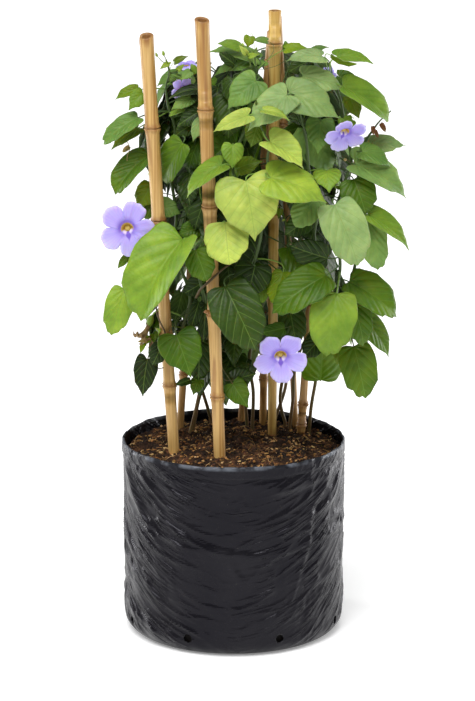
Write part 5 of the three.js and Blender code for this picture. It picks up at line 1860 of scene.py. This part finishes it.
class TRUMPETVINE_OT_vines(bpy.types.Operator):
    """Makes the nine vines where the solids hold them: stems, stalks, leaves and the blooms' bracts"""

    bl_idname = "trumpet_vine.make_vines"
    bl_label = "Make vines"

    def execute(self, context):
        settings = context.scene.vine_settings
        solids = SolidCorners()
        state = [FILL_SEED]
        leaves = [[] for _ in VINES]
        stalks = [[] for _ in VINES]
        for row in LEAVES:
            place = solids.leaf(row)
            if not place:
                raise RuntimeError(f"the solids hold no leaf at {row[:3]}")
            leaf, vine, root = place
            leaves[vine].append((leaf, root, FRONT_GRID if leaf["length"] > 42 else BACK_GRID))
        for row in [fill_row(index, state) for index in range(FILL_LEAVES)]:
            place = solids.leaf(row)
            if place:
                leaf, vine, root = place
                leaves[vine].append((leaf, root, BACK_GRID))
        for name, bloom in BLOOMS.items():
            matrix = bloom_place(bloom)
            seat = matrix @ Vector(BLOOM_SEAT)
            arrival = (matrix @ Vector((0, 0, -TUBE_LENGTH - 4)) - seat).normalized()
            cup = matrix @ Vector((0, -5, -TUBE_LENGTH - 3))
            vine = solids.vines[solids.tree.find(cup)[1]]
            root = solids.root(seat, arrival, vine, STALK_RADIUS + 0.2)
            bend = seat - arrival * STALK_BOW * (root - seat).length
            stalks[vine].append((bloom, seat, bend, root))
        radii = [stem_radius(i / STEM_STEPS) for i in range(STEM_STEPS + 1)]
        for vine, way in enumerate(stem_ways):
            random = Random(20 + vine)
            whole = bmesh.new()
            stem = swept(even_points(way, STEM_STEPS), radii, 8)
            paint(stem, linear("3F5422"))
            join(whole, stem)
            for leaf, root, fineness in leaves[vine]:
                leaf_with_stalk(whole, leaf, root, fineness, settings, random)
            for bloom, seat, bend, root in stalks[vine]:
                join(whole, calyx_shape(bloom, random))
                join(whole, stalk_shape(seat, bend, root, (1.2, 1.1), 6, linear("7FA548")))
            name = f"vine_{vine + 1}"
            finish_piece(whole, f"climbing_{name}", vine_materials(context), "leaf", name)
        return {"FINISHED"}


class TRUMPETVINE_OT_young_leaves(bpy.types.Operator):
    """Makes the smallest leaves, and the shaded ones that fill the canopy behind the outer leaves"""

    bl_idname = "trumpet_vine.make_young_leaves"
    bl_label = "Make young and shaded leaves"

    def execute(self, context):
        settings = context.scene.vine_settings
        random = Random(5)
        solids = [solid_tree(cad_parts[name]) for name in sorted(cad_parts) if name != "soil"]
        views = sight_lines()
        young = bmesh.new()
        for row in SMALL_LEAVES:
            leaf = clear_leaf(row, solids, settings)
            roots = stalk_roots(leaf["base"])
            if not roots:
                raise RuntimeError(f"the small leaf at {row[:3]} reaches no stem")
            leaf_with_stalk(young, leaf, roots[0][0], SMALL_GRID, settings, random)
        finish_piece(young, "young_leaves", vine_materials(context), "leaf")

        shaded = bmesh.new()
        made = []
        for _ in range(settings.shaded):
            leaf = leaf_frame(shaded_row(random))
            blade = blade_shape(leaf, *SHADED_GRID, settings, Random(1))
            tree = BVHTree.FromBMesh(blade)
            blade.free()
            near = [place for place in made if (place - leaf["base"]).length < SHADED_APART]
            roots = stalk_roots(leaf["base"])
            if roots and not near and not any(tree.overlap(solid) for solid in [views, *solids]):
                made.append(leaf["base"])
                leaf_with_stalk(shaded, leaf, roots[0][0], SHADED_GRID, settings, random)
        finish_piece(shaded, "shaded_leaves", vine_materials(context), "leaf")
        return {"FINISHED"}


class TRUMPETVINE_OT_blooms(bpy.types.Operator):
    """Makes the blooms"""

    bl_idname = "trumpet_vine.make_blooms"
    bl_label = "Make blooms"

    def execute(self, context):
        settings = context.scene.bloom_settings
        fresh = petal_material(settings)
        dry = withered_material()
        anther = anther_material()
        for index, (name, bloom) in enumerate(BLOOMS.items()):
            random = Random(40 + index)
            if name == "dry_bloom":
                bm = bloom_shape(bloom, DRY_SPREAD, settings, random)
                finish_piece(bm, "withered_bloom", [dry], "dry_petal", name)
                continue
            bm = bloom_shape(bloom, 1, settings, random)
            join(bm, anthers_shape(bloom), 1)
            finish_piece(bm, f"open_{name}", [fresh, anther], "petal", name)
        return {"FINISHED"}


class TRUMPETVINE_OT_shoots(bpy.types.Operator):
    """Makes the tendrils, twigs, buds and bracts"""

    bl_idname = "trumpet_vine.make_shoots"
    bl_label = "Make shoots and buds"

    def execute(self, context):
        settings = context.scene.vine_settings
        random = Random(9)
        whole = bmesh.new()
        for way, radii, tone in SHOOTS:
            join(whole, shoot_shape(way, radii, tone_of(tone, random)))
        for place, heading, length, radius, tone in BUDS:
            join(whole, bud_shape(place, heading, length, radius, tone_of(tone, random)))
        for row in BRACTS:
            join(whole, blade_shape(leaf_frame(row), *SHADED_GRID, settings, random))
        finish_piece(whole, "shoots_and_buds", vine_materials(context), "leaf")
        folded = bloom_shape(FOLDED_BLOOM, 0.75, context.scene.bloom_settings, random)
        finish_piece(folded, "folded_bloom", [bpy.data.materials["fresh_petal"]], "petal")
        return {"FINISHED"}


class TRUMPETVINE_OT_stage(bpy.types.Operator):
    """Makes the floor, the lights and the camera"""

    bl_idname = "trumpet_vine.make_stage"
    bl_label = "Make stage"

    def execute(self, context):
        settings = context.scene.stage_settings
        bm = bmesh.new()
        bmesh.ops.create_grid(bm, x_segments=2, y_segments=2, size=14)
        mesh = bpy.data.meshes.new("floor")
        bm.to_mesh(mesh)
        bm.free()
        floor = bpy.data.objects.new("floor", mesh)
        context.scene.collection.objects.link(floor)
        material = floor_material(settings)
        mesh.materials.append(material)

        world = bpy.data.worlds.new("room")
        world.use_nodes = True
        background = world.node_tree.nodes["Background"]
        background.inputs["Color"].default_value = (1, 1, 1, 1)
        background.inputs["Strength"].default_value = settings.sky
        context.scene.world = world
        lamps = {"key": (-0.4, -1.6, 3.3), "left": (-2.0, 0.9, 0.7), "right": (2.0, 1.0, 0.7)}
        for name, place in lamps.items():
            light = bpy.data.lights.new(name, "SUN" if name == "key" else "AREA")
            light.energy = settings.key if name == "key" else settings.sides
            if name == "key":
                light.angle = radians(40)
            else:
                light.shape = "RECTANGLE"
                light.size, light.size_y = 0.5, 1.3
            lamp = bpy.data.objects.new(name, light)
            lamp.location = place
            lamp.rotation_euler = (Vector((0, 0, 0.35)) - Vector(place)).to_track_quat("-Z", "Y").to_euler()
            context.scene.collection.objects.link(lamp)

        lens = bpy.data.cameras.new("camera")
        lens.sensor_fit = "VERTICAL"
        lens.sensor_height = 36
        lens.lens = 36 * CAMERA_REACH / PHOTO_HEIGHT
        lens.clip_end = 50
        camera = bpy.data.objects.new("camera", lens)
        camera.location = [c * MM for c in CAMERA_PLACE]
        camera.rotation_euler = (radians(90 - CAMERA_PITCH), 0, 0)
        context.scene.collection.objects.link(camera)
        context.scene.camera = camera
        context.scene.view_settings.view_transform = "Standard"
        return {"FINISHED"}


class TRUMPETVINE_PT_panel(bpy.types.Panel):
    """Lists the settings and the operators of the potted trumpet vine"""

    bl_label = "Trumpet vine"
    bl_idname = "TRUMPETVINE_PT_panel"
    bl_space_type = "VIEW_3D"
    bl_region_type = "UI"
    bl_category = "Trumpet vine"

    def draw(self, context):
        for kind in OPERATORS:
            self.layout.operator(kind.bl_idname)
        for name, kind in GROUPS.items():
            box = self.layout.box()
            for setting in kind.__annotations__:
                box.prop(getattr(context.scene, name), setting)


GROUPS = {
    "film_bag_settings": FilmBagSettings,
    "compost_settings": CompostSettings,
    "cane_settings": CaneSettings,
    "vine_settings": VineSettings,
    "bloom_settings": BloomSettings,
    "stage_settings": StageSettings,
}
OPERATORS = (
    TRUMPETVINE_OT_grow_bag,
    TRUMPETVINE_OT_compost,
    TRUMPETVINE_OT_canes,
    TRUMPETVINE_OT_vines,
    TRUMPETVINE_OT_young_leaves,
    TRUMPETVINE_OT_blooms,
    TRUMPETVINE_OT_shoots,
    TRUMPETVINE_OT_stage,
)


def register():
    for name, group in GROUPS.items():
        bpy.utils.register_class(group)
        setattr(bpy.types.Scene, name, PointerProperty(type=group))
    for kind in [*OPERATORS, TRUMPETVINE_PT_panel]:
        bpy.utils.register_class(kind)


def unregister():
    for kind in [TRUMPETVINE_PT_panel, *OPERATORS]:
        bpy.utils.unregister_class(kind)
    for name, group in GROUPS.items():
        delattr(bpy.types.Scene, name)
        bpy.utils.unregister_class(group)


def main():
    """Makes every piece and the stage."""
    register()
    bpy.ops.trumpet_vine.make_grow_bag()
    bpy.ops.trumpet_vine.make_compost()
    bpy.ops.trumpet_vine.make_canes()
    bpy.ops.trumpet_vine.make_vines()
    bpy.ops.trumpet_vine.make_young_leaves()
    bpy.ops.trumpet_vine.make_blooms()
    bpy.ops.trumpet_vine.make_shoots()
    bpy.ops.trumpet_vine.make_stage()
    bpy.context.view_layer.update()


if __name__ == "__main__":
    main()
